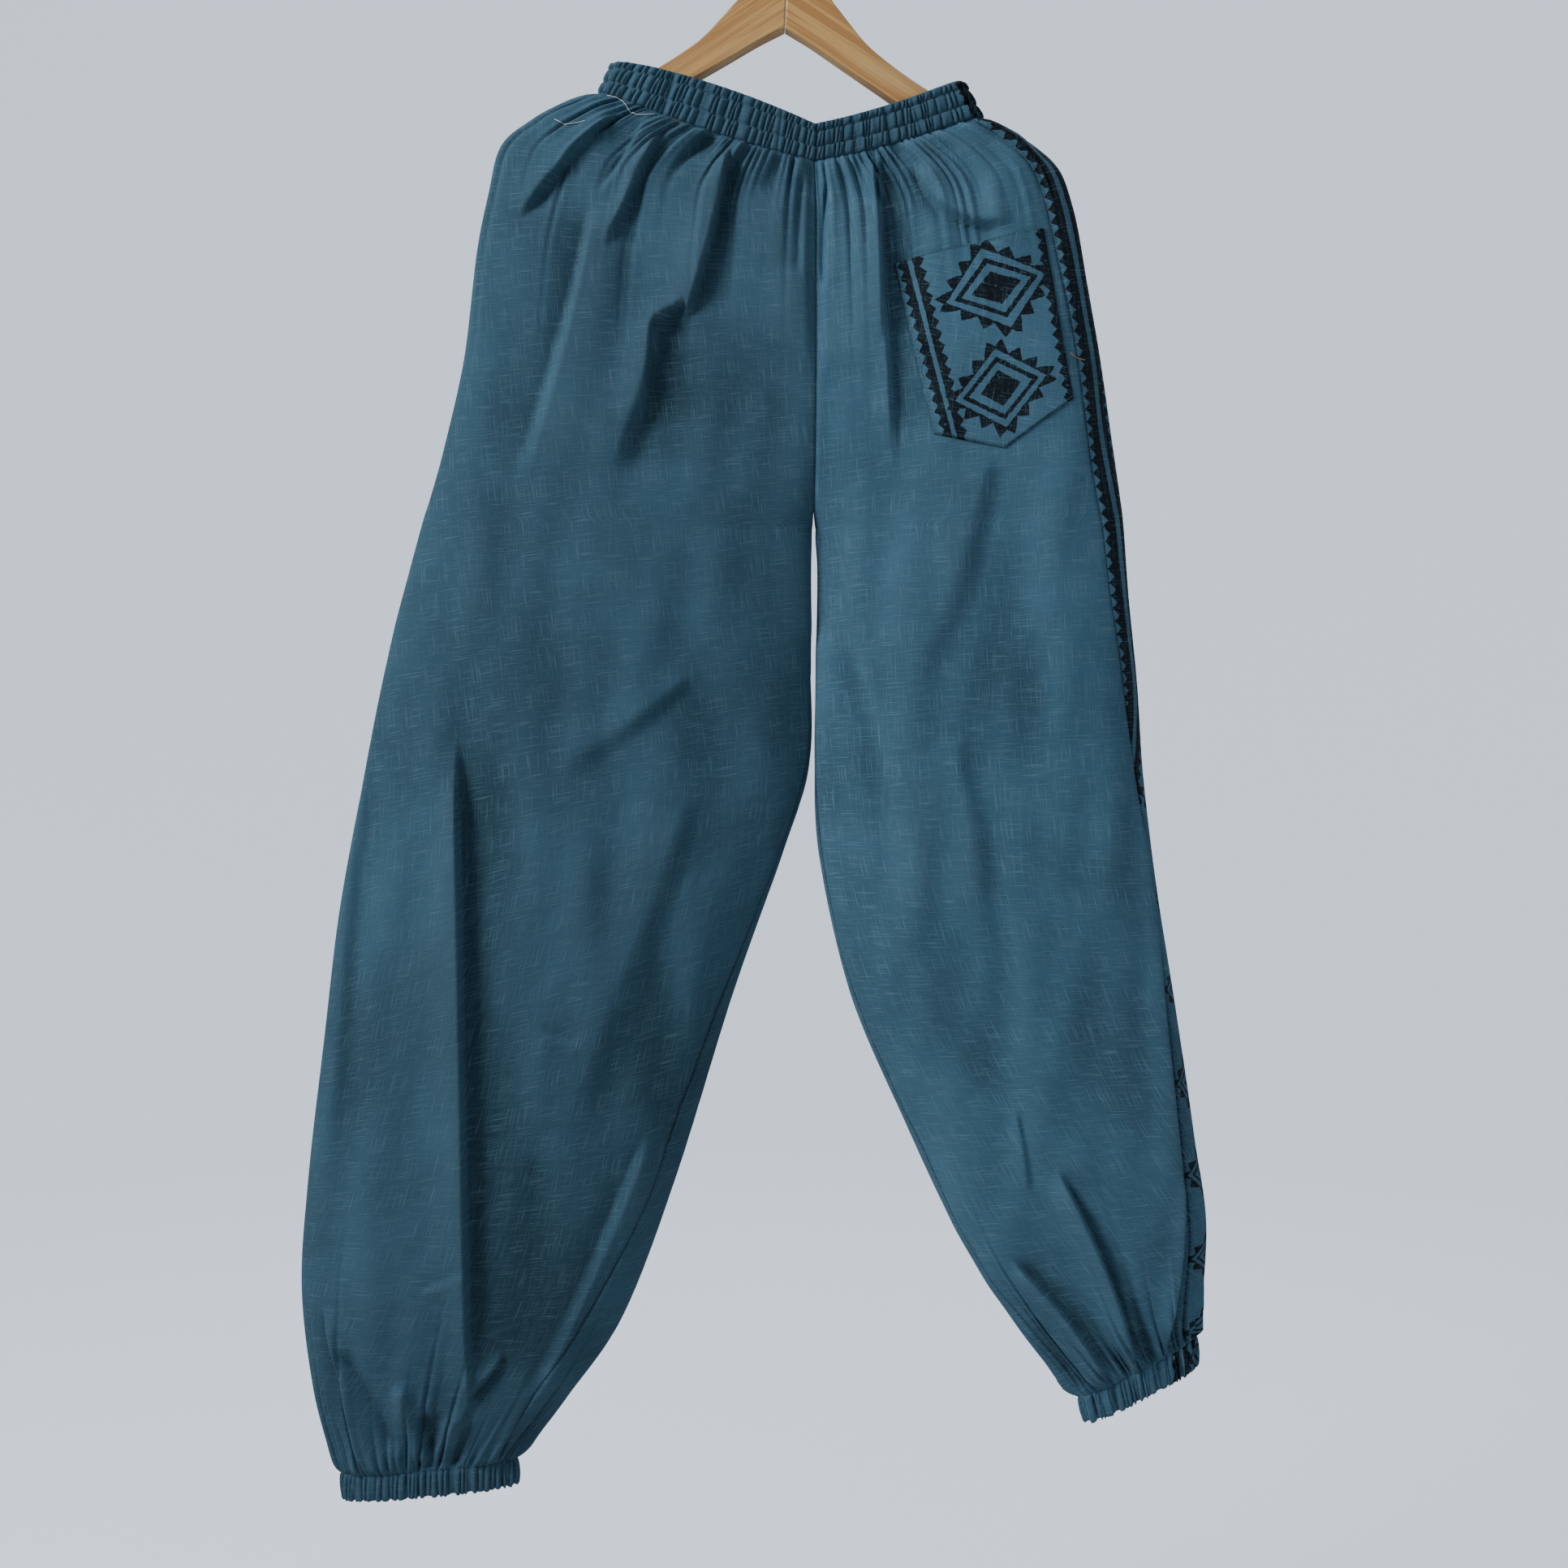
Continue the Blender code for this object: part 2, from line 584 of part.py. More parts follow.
def build_cuff(side, last_section, last_fullness, seed):
    top = np.array(last_section[0:4])
    top[[1, 3]] -= SEAM_GAP / 2
    bottom = np.array(CUFF_BOTTOM[side])
    count = 2 * CUFF_WAVES[side]
    waves = wave_heights(count, seed)
    outer_loops = []
    inner_loops = []
    for row in CUFF_ROWS:
        edge = bottom + (top - bottom) * row.height
        depth = CUFF_HALF_DEPTH[side]
        depth += (last_fullness.back - depth) * row.height
        path = Path(edge[0:2], edge[2:4], depth, depth, CUFF_SQUARE)
        lengths = np.arange(count) * path.total / count
        base = path.at(lengths)
        outward = path.outward(lengths)
        lift = row.puff + row.wave * waves
        outer_loops.append(base + outward * lift[:, None])
        if row.height in (0.0, 1.0):
            inner_loops.append(base - outward * (CUFF_WALL - 1.0))
    material = make_material(f"cuff_cotton_{side}", TEAL, 0.9)
    return loop_object(f"cuff_{side}", outer_loops, inner_loops, material)


# The pocket
def build_pocket(panel):
    """The patch lies on the panel: each of its points is a point of the panel, moved out."""
    corners = {name: np.array(place) for name, place in POCKET_CORNERS.items()}
    surface = bmesh.new()
    surface.from_mesh(panel.data)
    bmesh.ops.triangulate(surface, faces=surface.faces)
    tree = BVHTree.FromBMesh(surface)
    surface.free()
    walls = []
    for row in range(POCKET_ROWS + 1):
        down = row / POCKET_ROWS
        outer = []
        for column in range(POCKET_COLUMNS + 1):
            across = column / POCKET_COLUMNS
            upper = corners["upper_left"] * (1 - across) + corners["upper_right"] * across
            if across <= POCKET_TIP_SHARE:
                share = across / POCKET_TIP_SHARE
                lower = corners["lower_left"] * (1 - share) + corners["tip"] * share
            else:
                share = (across - POCKET_TIP_SHARE) / (1 - POCKET_TIP_SHARE)
                lower = corners["tip"] * (1 - share) + corners["lower_right"] * share
            place = upper + (lower - upper) * down
            start = Vector((place[0], -200.0, place[1])) * MM
            hit = tree.ray_cast(start, Vector((0.0, 1.0, 0.0)))[0]
            outer.append(np.array(hit) / MM)
        walls.append(np.array(outer))
    lifted = []
    for outer in walls:
        out = np.array((0.0, -1.0, 0.0))
        lifted.append((outer + out * (POCKET_LIFT + POCKET_WALL), outer + out * POCKET_LIFT))
    material = make_material("pocket_cotton", TEAL, 0.88)
    return sheet_object("back_pocket", lifted, material)


# The hanger
def tilted(x, z):
    """A point of the hanger's wood, turned clockwise about the bottom of its joint."""
    turned_x = x * math.cos(WOOD_TILT) + z * math.sin(WOOD_TILT)
    turned_z = z * math.cos(WOOD_TILT) - x * math.sin(WOOD_TILT)
    return WOOD_CENTRE[0] + turned_x, WOOD_CENTRE[1] + turned_z


def build_arm(side):
    sign = -1.0 if side == "left" else 1.0
    outline = [tilted(sign * max(x, SEAM_GAP / 2), z) for x, z in ARM_UPPER + ARM_LOWER]
    count = len(outline)
    half = WOOD_THICKNESS / 2
    points = [(x, -half, z) for x, z in outline] + [(x, half, z) for x, z in outline]
    faces = [list(range(count)), list(range(2 * count - 1, count - 1, -1))]
    for index in range(count):
        after = (index + 1) % count
        faces.append([index, after, count + after, count + index])
    material = make_material(f"pine_{side}", PINE, 0.5)
    arm = make_object(f"hanger_arm_{side}", points, faces, material)
    bevel = arm.modifiers.new("Rounded edges", "BEVEL")
    bevel.width = WOOD_EDGE_ROUND * MM
    bevel.segments = 2
    bevel.limit_method = "ANGLE"
    bevel.angle_limit = math.radians(85)
    return arm


def hook_route():
    """Centre line of the wire, from the wood up round the curl to its free end."""
    radius = HOOK_INSIDE_RADIUS + HOOK_WIRE_RADIUS
    centre_z = -HOOK_INSIDE_RADIUS
    shank_x, shank_z = tilted(0.0, ARM_UPPER[0][1] + SEAM_GAP - HOOK_SEAT)
    start = np.array((shank_x, shank_z))
    rise = np.array((math.sin(WOOD_TILT), math.cos(WOOD_TILT)))
    curl_start = math.radians(-55)
    curl_end = math.radians(205)
    joins = np.array((radius * math.cos(curl_start), centre_z + radius * math.sin(curl_start)))
    heading = np.array((-math.sin(curl_start), math.cos(curl_start)))
    reach = 9.0
    route = [start]
    for share in np.linspace(0.0, 1.0, 8):
        p0 = start + rise * 5.0
        p1 = p0 + rise * reach * 0.7
        p2 = joins - heading * reach
        route.append((1 - share) ** 3 * p0 + 3 * share * (1 - share) ** 2 * p1
                     + 3 * share ** 2 * (1 - share) * p2 + share ** 3 * joins)
    for angle in np.linspace(curl_start, curl_end, 22)[1:]:
        route.append(np.array((radius * math.cos(angle), centre_z + radius * math.sin(angle))))
    return route


def build_hook():
    route = hook_route()
    curve = bpy.data.curves.new("hanger_hook", "CURVE")
    curve.dimensions = "3D"
    curve.bevel_depth = HOOK_WIRE_RADIUS * MM
    curve.bevel_resolution = 2
    curve.use_fill_caps = True
    line = curve.splines.new("POLY")
    line.points.add(len(route) - 1)
    for point, place in zip(line.points, route):
        point.co = (place[0] * MM, 0.0, place[1] * MM, 1.0)
    curve.materials.append(make_material("hook_steel", STEEL, 0.25, 1.0))
    item = bpy.data.objects.new("hanger_hook", curve)
    bpy.context.scene.collection.objects.link(item)
    return item


def main():
    clear_scene()
    build_panels("left", LEFT_LEG)
    right = build_panels("right", RIGHT_LEG)
    build_pocket(right["back"])
    build_waistband()
    build_cuff("left", LEFT_LEG[-1], FULLNESS[-1], seed=5)
    build_cuff("right", RIGHT_LEG[-1], FULLNESS[-1], seed=6)
    build_arm("left")
    build_arm("right")
    build_hook()


main()
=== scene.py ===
# %% [markdown]
# # Cotton trousers on a pine hanger
# Loose summer trousers of slubby teal cotton hang by their elastic waistband on a flat
# wooden hanger, seen from behind. This lesson dresses plain solids of them: each cut piece
# of cloth is worked out again on the same outline, but with far more points, so that it
# can carry creases, gathers, a block print and a woven surface.
#
# The solids come first. The frame holds one node for each cut piece, and every piece that
# is made here stands for one of them, in the same place.

# %% Load the solids
import math
from collections import namedtuple

import bmesh
import bpy
import numpy as np
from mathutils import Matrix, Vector
from mathutils.bvhtree import BVHTree


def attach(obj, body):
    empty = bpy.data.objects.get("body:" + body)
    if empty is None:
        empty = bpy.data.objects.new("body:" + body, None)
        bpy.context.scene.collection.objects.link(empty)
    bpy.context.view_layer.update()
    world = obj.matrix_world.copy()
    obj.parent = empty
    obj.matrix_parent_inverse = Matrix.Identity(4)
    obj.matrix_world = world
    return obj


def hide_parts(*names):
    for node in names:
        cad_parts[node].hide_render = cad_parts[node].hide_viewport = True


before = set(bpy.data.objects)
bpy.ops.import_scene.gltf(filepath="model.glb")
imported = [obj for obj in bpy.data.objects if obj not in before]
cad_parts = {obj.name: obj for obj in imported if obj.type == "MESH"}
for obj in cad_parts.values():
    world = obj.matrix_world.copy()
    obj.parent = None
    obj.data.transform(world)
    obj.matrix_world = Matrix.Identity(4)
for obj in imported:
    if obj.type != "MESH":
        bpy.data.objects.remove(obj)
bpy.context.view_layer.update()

print("solids:", ", ".join(sorted(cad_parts)))

# %% [markdown]
# ## Units and smooth curves
# The tables are in millimetres, as a tape measure reads, and MM turns them into Blender's
# metres. A leg is described by a few sections from the waist to the ankle. The rows in
# between are read from a smooth curve through them (a Catmull-Rom curve), which passes
# through every section and bends evenly. Straight steps would show as facets on cloth.

# %% Smooth rows between sections
MM = 0.001


def smooth_step(value):
    value = np.clip(value, 0.0, 1.0)
    return value * value * (3.0 - 2.0 * value)


def smooth_rows(rows, steps):
    table = np.array(rows, dtype=float)
    result = []
    for index, count in enumerate(steps):
        before, start = table[max(index - 1, 0)], table[index]
        end, after = table[index + 1], table[min(index + 2, len(table) - 1)]
        share = (np.arange(count) / count)[:, None]
        result.append(0.5 * (
            2.0 * start
            + (end - before) * share
            + (2.0 * before - 5.0 * start + 4.0 * end - after) * share ** 2
            + (3.0 * start - before - 3.0 * end + after) * share ** 3))
    result.append(table[-1:])
    return np.vstack(result)


print("half way through a smooth step:", float(smooth_step(0.5)))

# %% [markdown]
# ## The legs' sections
# The waistband runs askew, because the hanger carries it lower in the middle, so the first
# sections lean from the shoulder of the cloth down to the centre seam. Lower ones lie
# level. `side_back` and `side_front` say where the two side seams run, measured in from
# the outer edge; a minus sign lies round the edge, on the front. `Fullness` says how far
# the cloth stands out from the middle plane, and how square its section is: nearly flat
# at the elastic and round where the cloth hangs free.

# %% Sections from the waist to the ankle
Section = namedtuple(
    "Section", "outer_x outer_z inner_x inner_z side_back side_front inseam")

LEFT_LEG = (
    Section(-131.7, -145.0, 20.7, -196.0, -4, 34, 0),
    Section(-153.7, -152.0, 21.2, -207.1, -6, 42, 0),
    Section(-179.5, -164.6, 21.8, -220.4, -8, 50, 0),
    Section(-201.5, -183.5, 22.3, -236.5, -8, 56, 0),
    Section(-211.1, -216.3, 22.3, -257.2, -8, 62, 0),
    Section(-219.8, -256.9, 22.2, -289.2, -8, 68, 0),
    Section(-229.1, -332.3, 22.2, -346.7, -8, 72, 0),
    Section(-243.0, -395.0, 21.6, -406.6, -8, 74, 0),
    Section(-253.5, -433.0, 20.7, -440.0, -8, 74, 0),
    Section(-259.5, -452.0, 19.7, -456.5, -8, 74, 0),
    Section(-271.0, -496.0, 18.6, -495.0, -8, 74, 0),
    Section(-287.7, -564.3, 19.1, -558.5, -8, 74, 0),
    Section(-303.9, -648.4, 17.4, -625.2, -9, 72, 1),
    Section(-319.0, -738.3, -1.2, -686.1, -10, 70, 4),
    Section(-330.6, -831.1, -37.1, -787.6, -10, 68, 7),
    Section(-341.0, -923.9, -77.7, -918.1, -10, 64, 15),
    Section(-345.1, -999.3, -115.4, -1016.7, -9, 56, 25),
    Section(-337.0, -1070.1, -154.9, -1073.6, -6, 44, 25),
    Section(-324.2, -1113.0, -179.8, -1103.7, -3, 30, 18),
    Section(-316.7, -1129.5, -192.3, -1118.8, -2, 24, 12),
)
RIGHT_LEG = (
    Section(140.9, -162.4, 20.7, -196.0, 10, 26, 0),
    Section(157.2, -169.0, 21.2, -207.1, 14, 32, 0),
    Section(178.1, -181.6, 21.8, -220.4, 18, 38, 0),
    Section(195.0, -198.5, 22.3, -236.5, 20, 42, 0),
    Section(204.2, -225.0, 22.3, -257.2, 20, 46, 0),
    Section(211.7, -259.8, 22.2, -289.2, 20, 50, 0),
    Section(225.0, -332.3, 22.2, -346.7, 18, 54, 0),
    Section(234.3, -396.1, 21.6, -406.6, 20, 54, 0),
    Section(239.5, -433.0, 20.7, -440.0, 20, 54, 0),
    Section(241.9, -453.0, 21.7, -456.5, 19, 54, 0),
    Section(245.3, -500.5, 22.6, -494.7, 17, 56, 0),
    Section(251.7, -564.3, 21.5, -558.5, 12, 60, 0),
    Section(256.4, -633.9, 20.9, -625.2, 6, 66, 0),
    Section(266.2, -715.1, 24.9, -691.9, 3, 66, 1),
    Section(279.6, -799.2, 47.0, -787.6, 7, 62, 2),
    Section(292.3, -886.2, 84.7, -876.4, 11, 56, 3),
    Section(299.3, -952.9, 125.3, -961.6, 14, 48, 5),
    Section(298.1, -999.3, 165.3, -1023.7, 14, 40, 7),
    Section(295.8, -1022.5, 194.9, -1059.1, 12, 30, 6),
    Section(293.5, -1031.2, 210.5, -1074.7, 8, 20, 4),
)
LEGS = {"left": LEFT_LEG, "right": RIGHT_LEG}

Fullness = namedtuple("Fullness", "back front square sag")
FULLNESS = (
    Fullness(11, 11, 8.0, 3.5), Fullness(13, 12, 7.0, 3.0), Fullness(15, 13.5, 6.0, 2.0),
    Fullness(17, 15, 5.0, 1.0), Fullness(19, 16, 4.2, 0), Fullness(21, 17.5, 3.6, 0),
    Fullness(23, 19, 3.0, 0), Fullness(24, 20, 2.8, 0), Fullness(24, 20, 2.6, 0),
    Fullness(24, 20, 2.5, 0), Fullness(25, 20, 2.4, 0), Fullness(27, 21, 2.4, 0),
    Fullness(29, 22, 2.4, 0), Fullness(31, 23, 2.4, 0), Fullness(33, 24, 2.4, 0),
    Fullness(34, 25, 2.4, 0), Fullness(32, 24, 2.4, 0), Fullness(25, 19, 2.5, 0),
    Fullness(16, 14, 2.7, 0), Fullness(12, 12, 3.0, 0),
)
print(len(LEFT_LEG), "sections a leg")

# %% [markdown]
# ## The path round a leg
# Round each section the cloth follows one line: from the inner edge over the back to the
# outer edge, and home over the front. It is a superellipse, a rounded box whose squareness
# is one number. Above the crotch the line stays open at the centre seam, where the other
# leg's cloth carries on. Lengths along the line are lengths of cloth, which is what the
# seams, the weave and the print are measured in.

# %% Path of the cloth
CROTCH_Z = -456.0
CROTCH_CURVE = 90.0
PATH_SAMPLES = 160


class Path:
    def __init__(self, outer, inner, back, front, square, sag=0.0, opening=0.0):
        self.opening = opening
        self.outer = np.array((outer[0], 0.0, outer[1]))
        self.inner = np.array((inner[0], 0.0, inner[1]))
        self.chord = float(np.linalg.norm(self.outer - self.inner))
        self.across = (self.outer - self.inner) / self.chord
        angle = np.linspace(0.0, math.pi, PATH_SAMPLES)
        self.share = (1.0 - np.cos(angle)) / 2.0
        rounding = np.abs(2.0 * self.share - 1.0) ** square
        kept = np.where(self.share < 0.5, opening ** 2, 0.0) * rounding
        depth = np.sqrt(np.maximum(1.0 - rounding + kept, 0.0))
        line = self.inner + self.share[:, None] * (self.outer - self.inner)
        line[:, 2] -= sag * 4.0 * self.share * (1.0 - self.share)
        back_side = line - np.outer(depth * back, (0.0, 1.0, 0.0))
        front_side = line + np.outer(depth * front, (0.0, 1.0, 0.0))
        self.points = np.vstack((back_side, front_side[::-1][1:]))
        steps = np.linalg.norm(np.diff(self.points, axis=0), axis=1)
        self.lengths = np.concatenate(((0.0,), np.cumsum(steps)))
        self.total = self.lengths[-1]

    def back_length(self, from_outer):
        if from_outer < 0.0:
            return self.front_length(-from_outer)
        return float(np.interp(1.0 - from_outer / self.chord, self.share,
                               self.lengths[:PATH_SAMPLES]))

    def front_length(self, from_outer):
        front = self.lengths[PATH_SAMPLES - 1:]
        return float(np.interp(from_outer / self.chord, (1.0 - self.share)[::-1], front))

    def inseam_length(self, from_inner):
        return float(np.interp(from_inner / self.chord, self.share,
                               self.lengths[:PATH_SAMPLES]))

    def at(self, length):
        length = np.asarray(length, dtype=float)
        if self.opening == 0.0:
            length = np.mod(length, self.total)
        return np.stack([np.interp(length, self.lengths, self.points[:, axis])
                         for axis in range(3)], axis=-1)

    def outward(self, length, reach=0.8):
        length = np.asarray(length, dtype=float)
        ahead, behind = length + reach, length - reach
        if self.opening > 0.0:
            ahead, behind = np.minimum(ahead, self.total), np.maximum(behind, 0.0)
        tangent = self.at(ahead) - self.at(behind)
        normal = np.outer(tangent[:, 1], self.across)
        normal -= np.outer(tangent @ self.across, (0.0, 1.0, 0.0))
        if self.opening > 0.0:
            at_seam = (length < 1.0) | (length > self.total - 1.0)
            normal[at_seam] *= (0.0, 1.0, 0.0)
        return normal / np.linalg.norm(normal, axis=1)[:, None]


def opening_at(inner_z):
    if inner_z <= CROTCH_Z:
        return 0.0
    below_start = max(CROTCH_Z + CROTCH_CURVE - inner_z, 0.0) / CROTCH_CURVE
    return math.sqrt(1.0 - below_start ** 2)


print("round the left thigh:", round(Path((-287.7, -564.3), (19.1, -558.5), 27, 21, 2.4).total), "mm")

# %% [markdown]
# ## Folds placed one by one
# A crease in hung cloth isn't a wave: one side stands proud and catches the light, and the
# other drops away behind it. So each fold is a curve with its own height to the left and
# to the right of the line, its own reach on each side, and the width of the step between
# them. A small step reads as one layer lying over another. Folds start narrow where the
# elastic holds the cloth and spread as they run down, so their width grows on the way.

# %% Main folds of the back and the front
Fold = namedtuple("Fold", "start bend end left right left_reach right_reach step")

FOLD_DEPTH = 1.5
DEEPEST_FOLD = 9.0
BACK_FOLDS = (
    Fold((-39, -186), (-46, -243), (-71, -318), 5.5, -6.0, 15, 13, 4),
    Fold((-70, -300), (-82, -308), (-95, -314), 3.5, -4.5, 10, 8, 3),
    Fold((-93, -309), (-95, -345), (-98, -392), 3.0, -4.0, 18, 26, 5),
    Fold((62, -190), (68, -240), (69, -330), 3.0, -4.5, 10, 9, 3),
    Fold((-80, -300), (-95, -355), (-116, -425), 3.0, -3.5, 30, 26, 14),
    Fold((-117, -161), (-149, -188), (-190, -243), 2.0, -4.5, 12, 14, 5),
    Fold((-86, -172), (-108, -224), (-127, -262), 3.5, -3.5, 11, 12, 5),
    Fold((-100, -166), (-112, -195), (-132, -222), -3.0, 2.5, 8, 9, 4),
    Fold((-136, -228), (-149, -307), (-190, -432), -3.5, 4.0, 26, 30, 12),
    Fold((-11, -214), (-5, -270), (-12, -350), 3.0, 3.0, 20, 26, 10),
    Fold((14, -206), (10, -250), (11, -285), -4.0, -1.0, 9, 6, 4),
    Fold((31, -212), (27, -262), (29, -292), -4.5, 3.5, 5, 12, 4),
    Fold((46, -218), (51, -282), (44, -360), 3.0, 3.0, 20, 22, 9),
    Fold((68, -183), (69, -276), (79, -420), 3.2, -3.2, 14, 20, 6),
    Fold((60, -184), (64, -206), (68, -232), -3.5, -1.5, 5, 6, 4),
    Fold((92, -198), (104, -250), (163, -243), -4.5, 4.0, 12, 14, 6),
    Fold((148, -404), (139, -475), (96, -580), 2.0, -1.6, 34, 30, 22),
    Fold((23, -455), (22, -490), (20, -545), 3.0, -3.0, 6, 10, 3),
    Fold((-230, -600), (-222, -827), (-219, -1096), 5.5, -7.0, 20, 34, 4),
    Fold((-176, -890), (-170, -985), (-196, -1062), -3.5, -3.5, 20, 20, 10),
    Fold((-62, -560), (-100, -600), (-160, -632), 1.8, -1.4, 22, 26, 16),
    Fold((-96, -880), (-130, -975), (-190, -1094), -2.4, 2.0, 17, 14, 10),
    Fold((-172, -812), (-158, -816), (-139, -819), 0.9, -0.9, 9, 9, 5),
    Fold((-196, -1038), (-206, -1052), (-222, -1070), 2.2, -3.2, 10, 9, 4),
    Fold((-254, -990), (-236, -984), (-216, -974), 0.9, -1.0, 10, 10, 6),
    Fold((-326, -1005), (-309, -1075), (-301, -1127), -2.5, 4.0, 10, 11, 4),
    Fold((-314, -1033), (-284, -1075), (-271, -1115), -4.5, -3.0, 8, 9, 5),
    Fold((-270, -1055), (-263, -1097), (-253, -1123), 4.5, 4.5, 8, 7, 4),
    Fold((-252, -1078), (-250, -1106), (-246, -1127), -7.0, -6.0, 8, 7, 5),
    Fold((-225, -1076), (-240, -1101), (-252, -1125), 3.5, 3.0, 7, 7, 4),
    Fold((189, -905), (231, -978), (254, -1066), 5.0, -6.0, 12, 12, 4),
    Fold((158, -970), (209, -1015), (236, -1072), 4.5, -5.5, 10, 11, 4),
    Fold((161, -864), (168, -890), (171, -925), 1.2, -1.3, 8, 10, 6),
    Fold((252, -645), (271, -822), (281, -945), 2.5, -4.5, 10, 9, 4),
    Fold((279, -905), (282, -992), (268, -1049), 2.5, -4.5, 9, 9, 4),
    Fold((120, -600), (150, -700), (150, -840), 2.0, -2.4, 40, 40, 24),
    Fold((40, -520), (80, -640), (88, -760), -2.4, 2.0, 30, 40, 24),
    Fold((-60, -640), (-96, -760), (-150, -900), 2.2, -2.4, 40, 38, 26),
    Fold((-300, -620), (-306, -760), (-322, -930), 2.4, -2.2, 16, 22, 12),
)
FRONT_FOLDS = (
    Fold((-62, -178), (-70, -240), (-98, -335), 4.0, -5.0, 14, 13, 4),
    Fold((-112, -168), (-138, -215), (-162, -275), -3.5, 2.5, 12, 12, 5),
    Fold((-150, -300), (-165, -400), (-205, -530), 3.5, -3.5, 28, 26, 12),
    Fold((-14, -213), (-8, -290), (-20, -385), 3.5, 3.0, 22, 24, 10),
    Fold((52, -208), (60, -290), (50, -395), 3.0, 3.5, 22, 20, 10),
    Fold((104, -188), (118, -270), (150, -385), -4.5, 3.5, 15, 13, 5),
    Fold((150, -420), (160, -520), (130, -650), -3.5, 3.5, 30, 30, 14),
    Fold((-190, -600), (-205, -800), (-228, -1045), -5.0, 4.5, 20, 22, 6),
    Fold((-130, -780), (-160, -930), (-220, -1092), 3.5, -4.5, 20, 20, 8),
    Fold((-300, -980), (-296, -1060), (-282, -1123), 4.5, -4.5, 10, 9, 4),
    Fold((-250, -1050), (-254, -1095), (-258, -1126), -4.5, 4.5, 8, 8, 4),
    Fold((190, -700), (210, -850), (252, -1025), 3.5, -4.5, 22, 22, 8),
    Fold((150, -930), (190, -1000), (232, -1072), -4.5, 3.5, 12, 12, 5),
    Fold((272, -950), (276, -1000), (266, -1050), 3.5, -4.5, 9, 9, 4),
    Fold((-60, -640), (-96, -760), (-130, -880), -2.4, 2.2, 40, 38, 24),
    Fold((40, -520), (80, -640), (96, -780), 2.2, -2.4, 30, 40, 24),
)


def fold_lift(fold, flat):
    share = np.linspace(0.0, 1.0, 12)[:, None]
    start, bend, end = (np.array(place, dtype=float) for place in (fold.start, fold.bend, fold.end))
    curve = (1 - share) ** 2 * start + 2 * share * (1 - share) * bend + share ** 2 * end
    reach = 3.0 * max(fold.left_reach, fold.right_reach)
    low, high = curve.min(axis=0) - reach, curve.max(axis=0) + reach
    near = np.all((flat > low) & (flat < high), axis=1)
    points = flat[near]
    nearest = np.full(len(points), np.inf)
    side = np.zeros(len(points))
    along = np.zeros(len(points))
    for index in range(len(curve) - 1):
        run = curve[index + 1] - curve[index]
        length = np.linalg.norm(run)
        offset = points - curve[index]
        part = np.clip(offset @ run / length ** 2, 0.0, 1.0)
        distance = np.linalg.norm(offset - part[:, None] * run, axis=1)
        closer = distance < nearest
        nearest[closer] = distance[closer]
        side[closer] = ((offset @ np.array((-run[1], run[0]))) / length)[closer]
        along[closer] = (index + part[closer]) / (len(curve) - 1)
    spread = 0.65 + 0.7 * along
    on_right = smooth_step(0.5 + side / (fold.step * spread))
    wide = (fold.left_reach + (fold.right_reach - fold.left_reach) * on_right) * spread
    height = fold.left + (fold.right - fold.left) * on_right
    ends = smooth_step(along / 0.15) * smooth_step((1.0 - along) / 0.22)
    rounding = np.where(height < 0.0, 1.1, 2.0)
    lift = np.zeros(len(flat))
    lift[near] = height * np.exp(-(nearest / wide) ** rounding) * ends
    return lift


print(len(BACK_FOLDS) + len(FRONT_FOLDS), "folds placed by hand")

# %% [markdown]
# ## Gathers at the elastic
# A waistband takes in about a third of the cloth. The spare width stands up in narrow
# ridges with sharp creases between them, and no two are alike. `ridge_shape` draws them:
# the root of a sine is round on top and sharp at the bottom, and a few slow waves shift
# the creases so that the spacing is uneven. Panel and waistband ask it for the same
# ridges, so a gather runs on through the seam, as it does in the sewn thing. Longer
# puckers then fan out at random lengths below it.

# %% Gather shapes
BAND_WAVES = {"left": 65, "right": 51}
CUFF_WAVES = {"left": 44, "right": 40}
SEEDS = {"left": 21, "right": 34}


def ridge_shape(turn, count, seed, sharpness=0.62):
    random = np.random.default_rng(seed)
    shifted = np.array(turn, dtype=float)
    for waves in (3, 7, 11, 16, 23):
        shifted = shifted + 0.26 / count * np.sin(
            2.0 * math.pi * (waves * turn + random.uniform()))
    return np.abs(np.sin(math.pi * count * shifted)) ** sharpness


def gather_lift(turn, distance, ridges, seed, height, reach):
    """Broad ridges that run down from the elastic, each a different way."""
    random = np.random.default_rng(seed)
    slow = sum(np.sin(2.0 * math.pi * (count * turn + random.uniform())) for count in (5, 9, 14, 19))
    length = reach * np.maximum(1.0 + 0.36 * slow, 0.3)
    return height * (ridge_shape(turn, ridges, seed, 0.8) - 0.6) * np.exp(-(distance / length) ** 1.4)


def pucker_lift(turn, around, distance, count, longest, seed):
    random = np.random.default_rng(seed)
    total = np.zeros_like(turn)
    for _ in range(count):
        place, drift = random.uniform(), random.normal(0.0, 0.12)
        width, height = random.uniform(2.2, 4.6), random.uniform(-5.0, 3.0)
        length = longest * random.uniform(0.16, 1.0)
        across = (np.mod(turn - place + 0.5, 1.0) - 0.5) * around + drift * distance
        wide = width * (1.0 + distance / 32.0)
        total += height * np.exp(-(across / wide) ** 2 - (distance / length) ** 2)
    return total


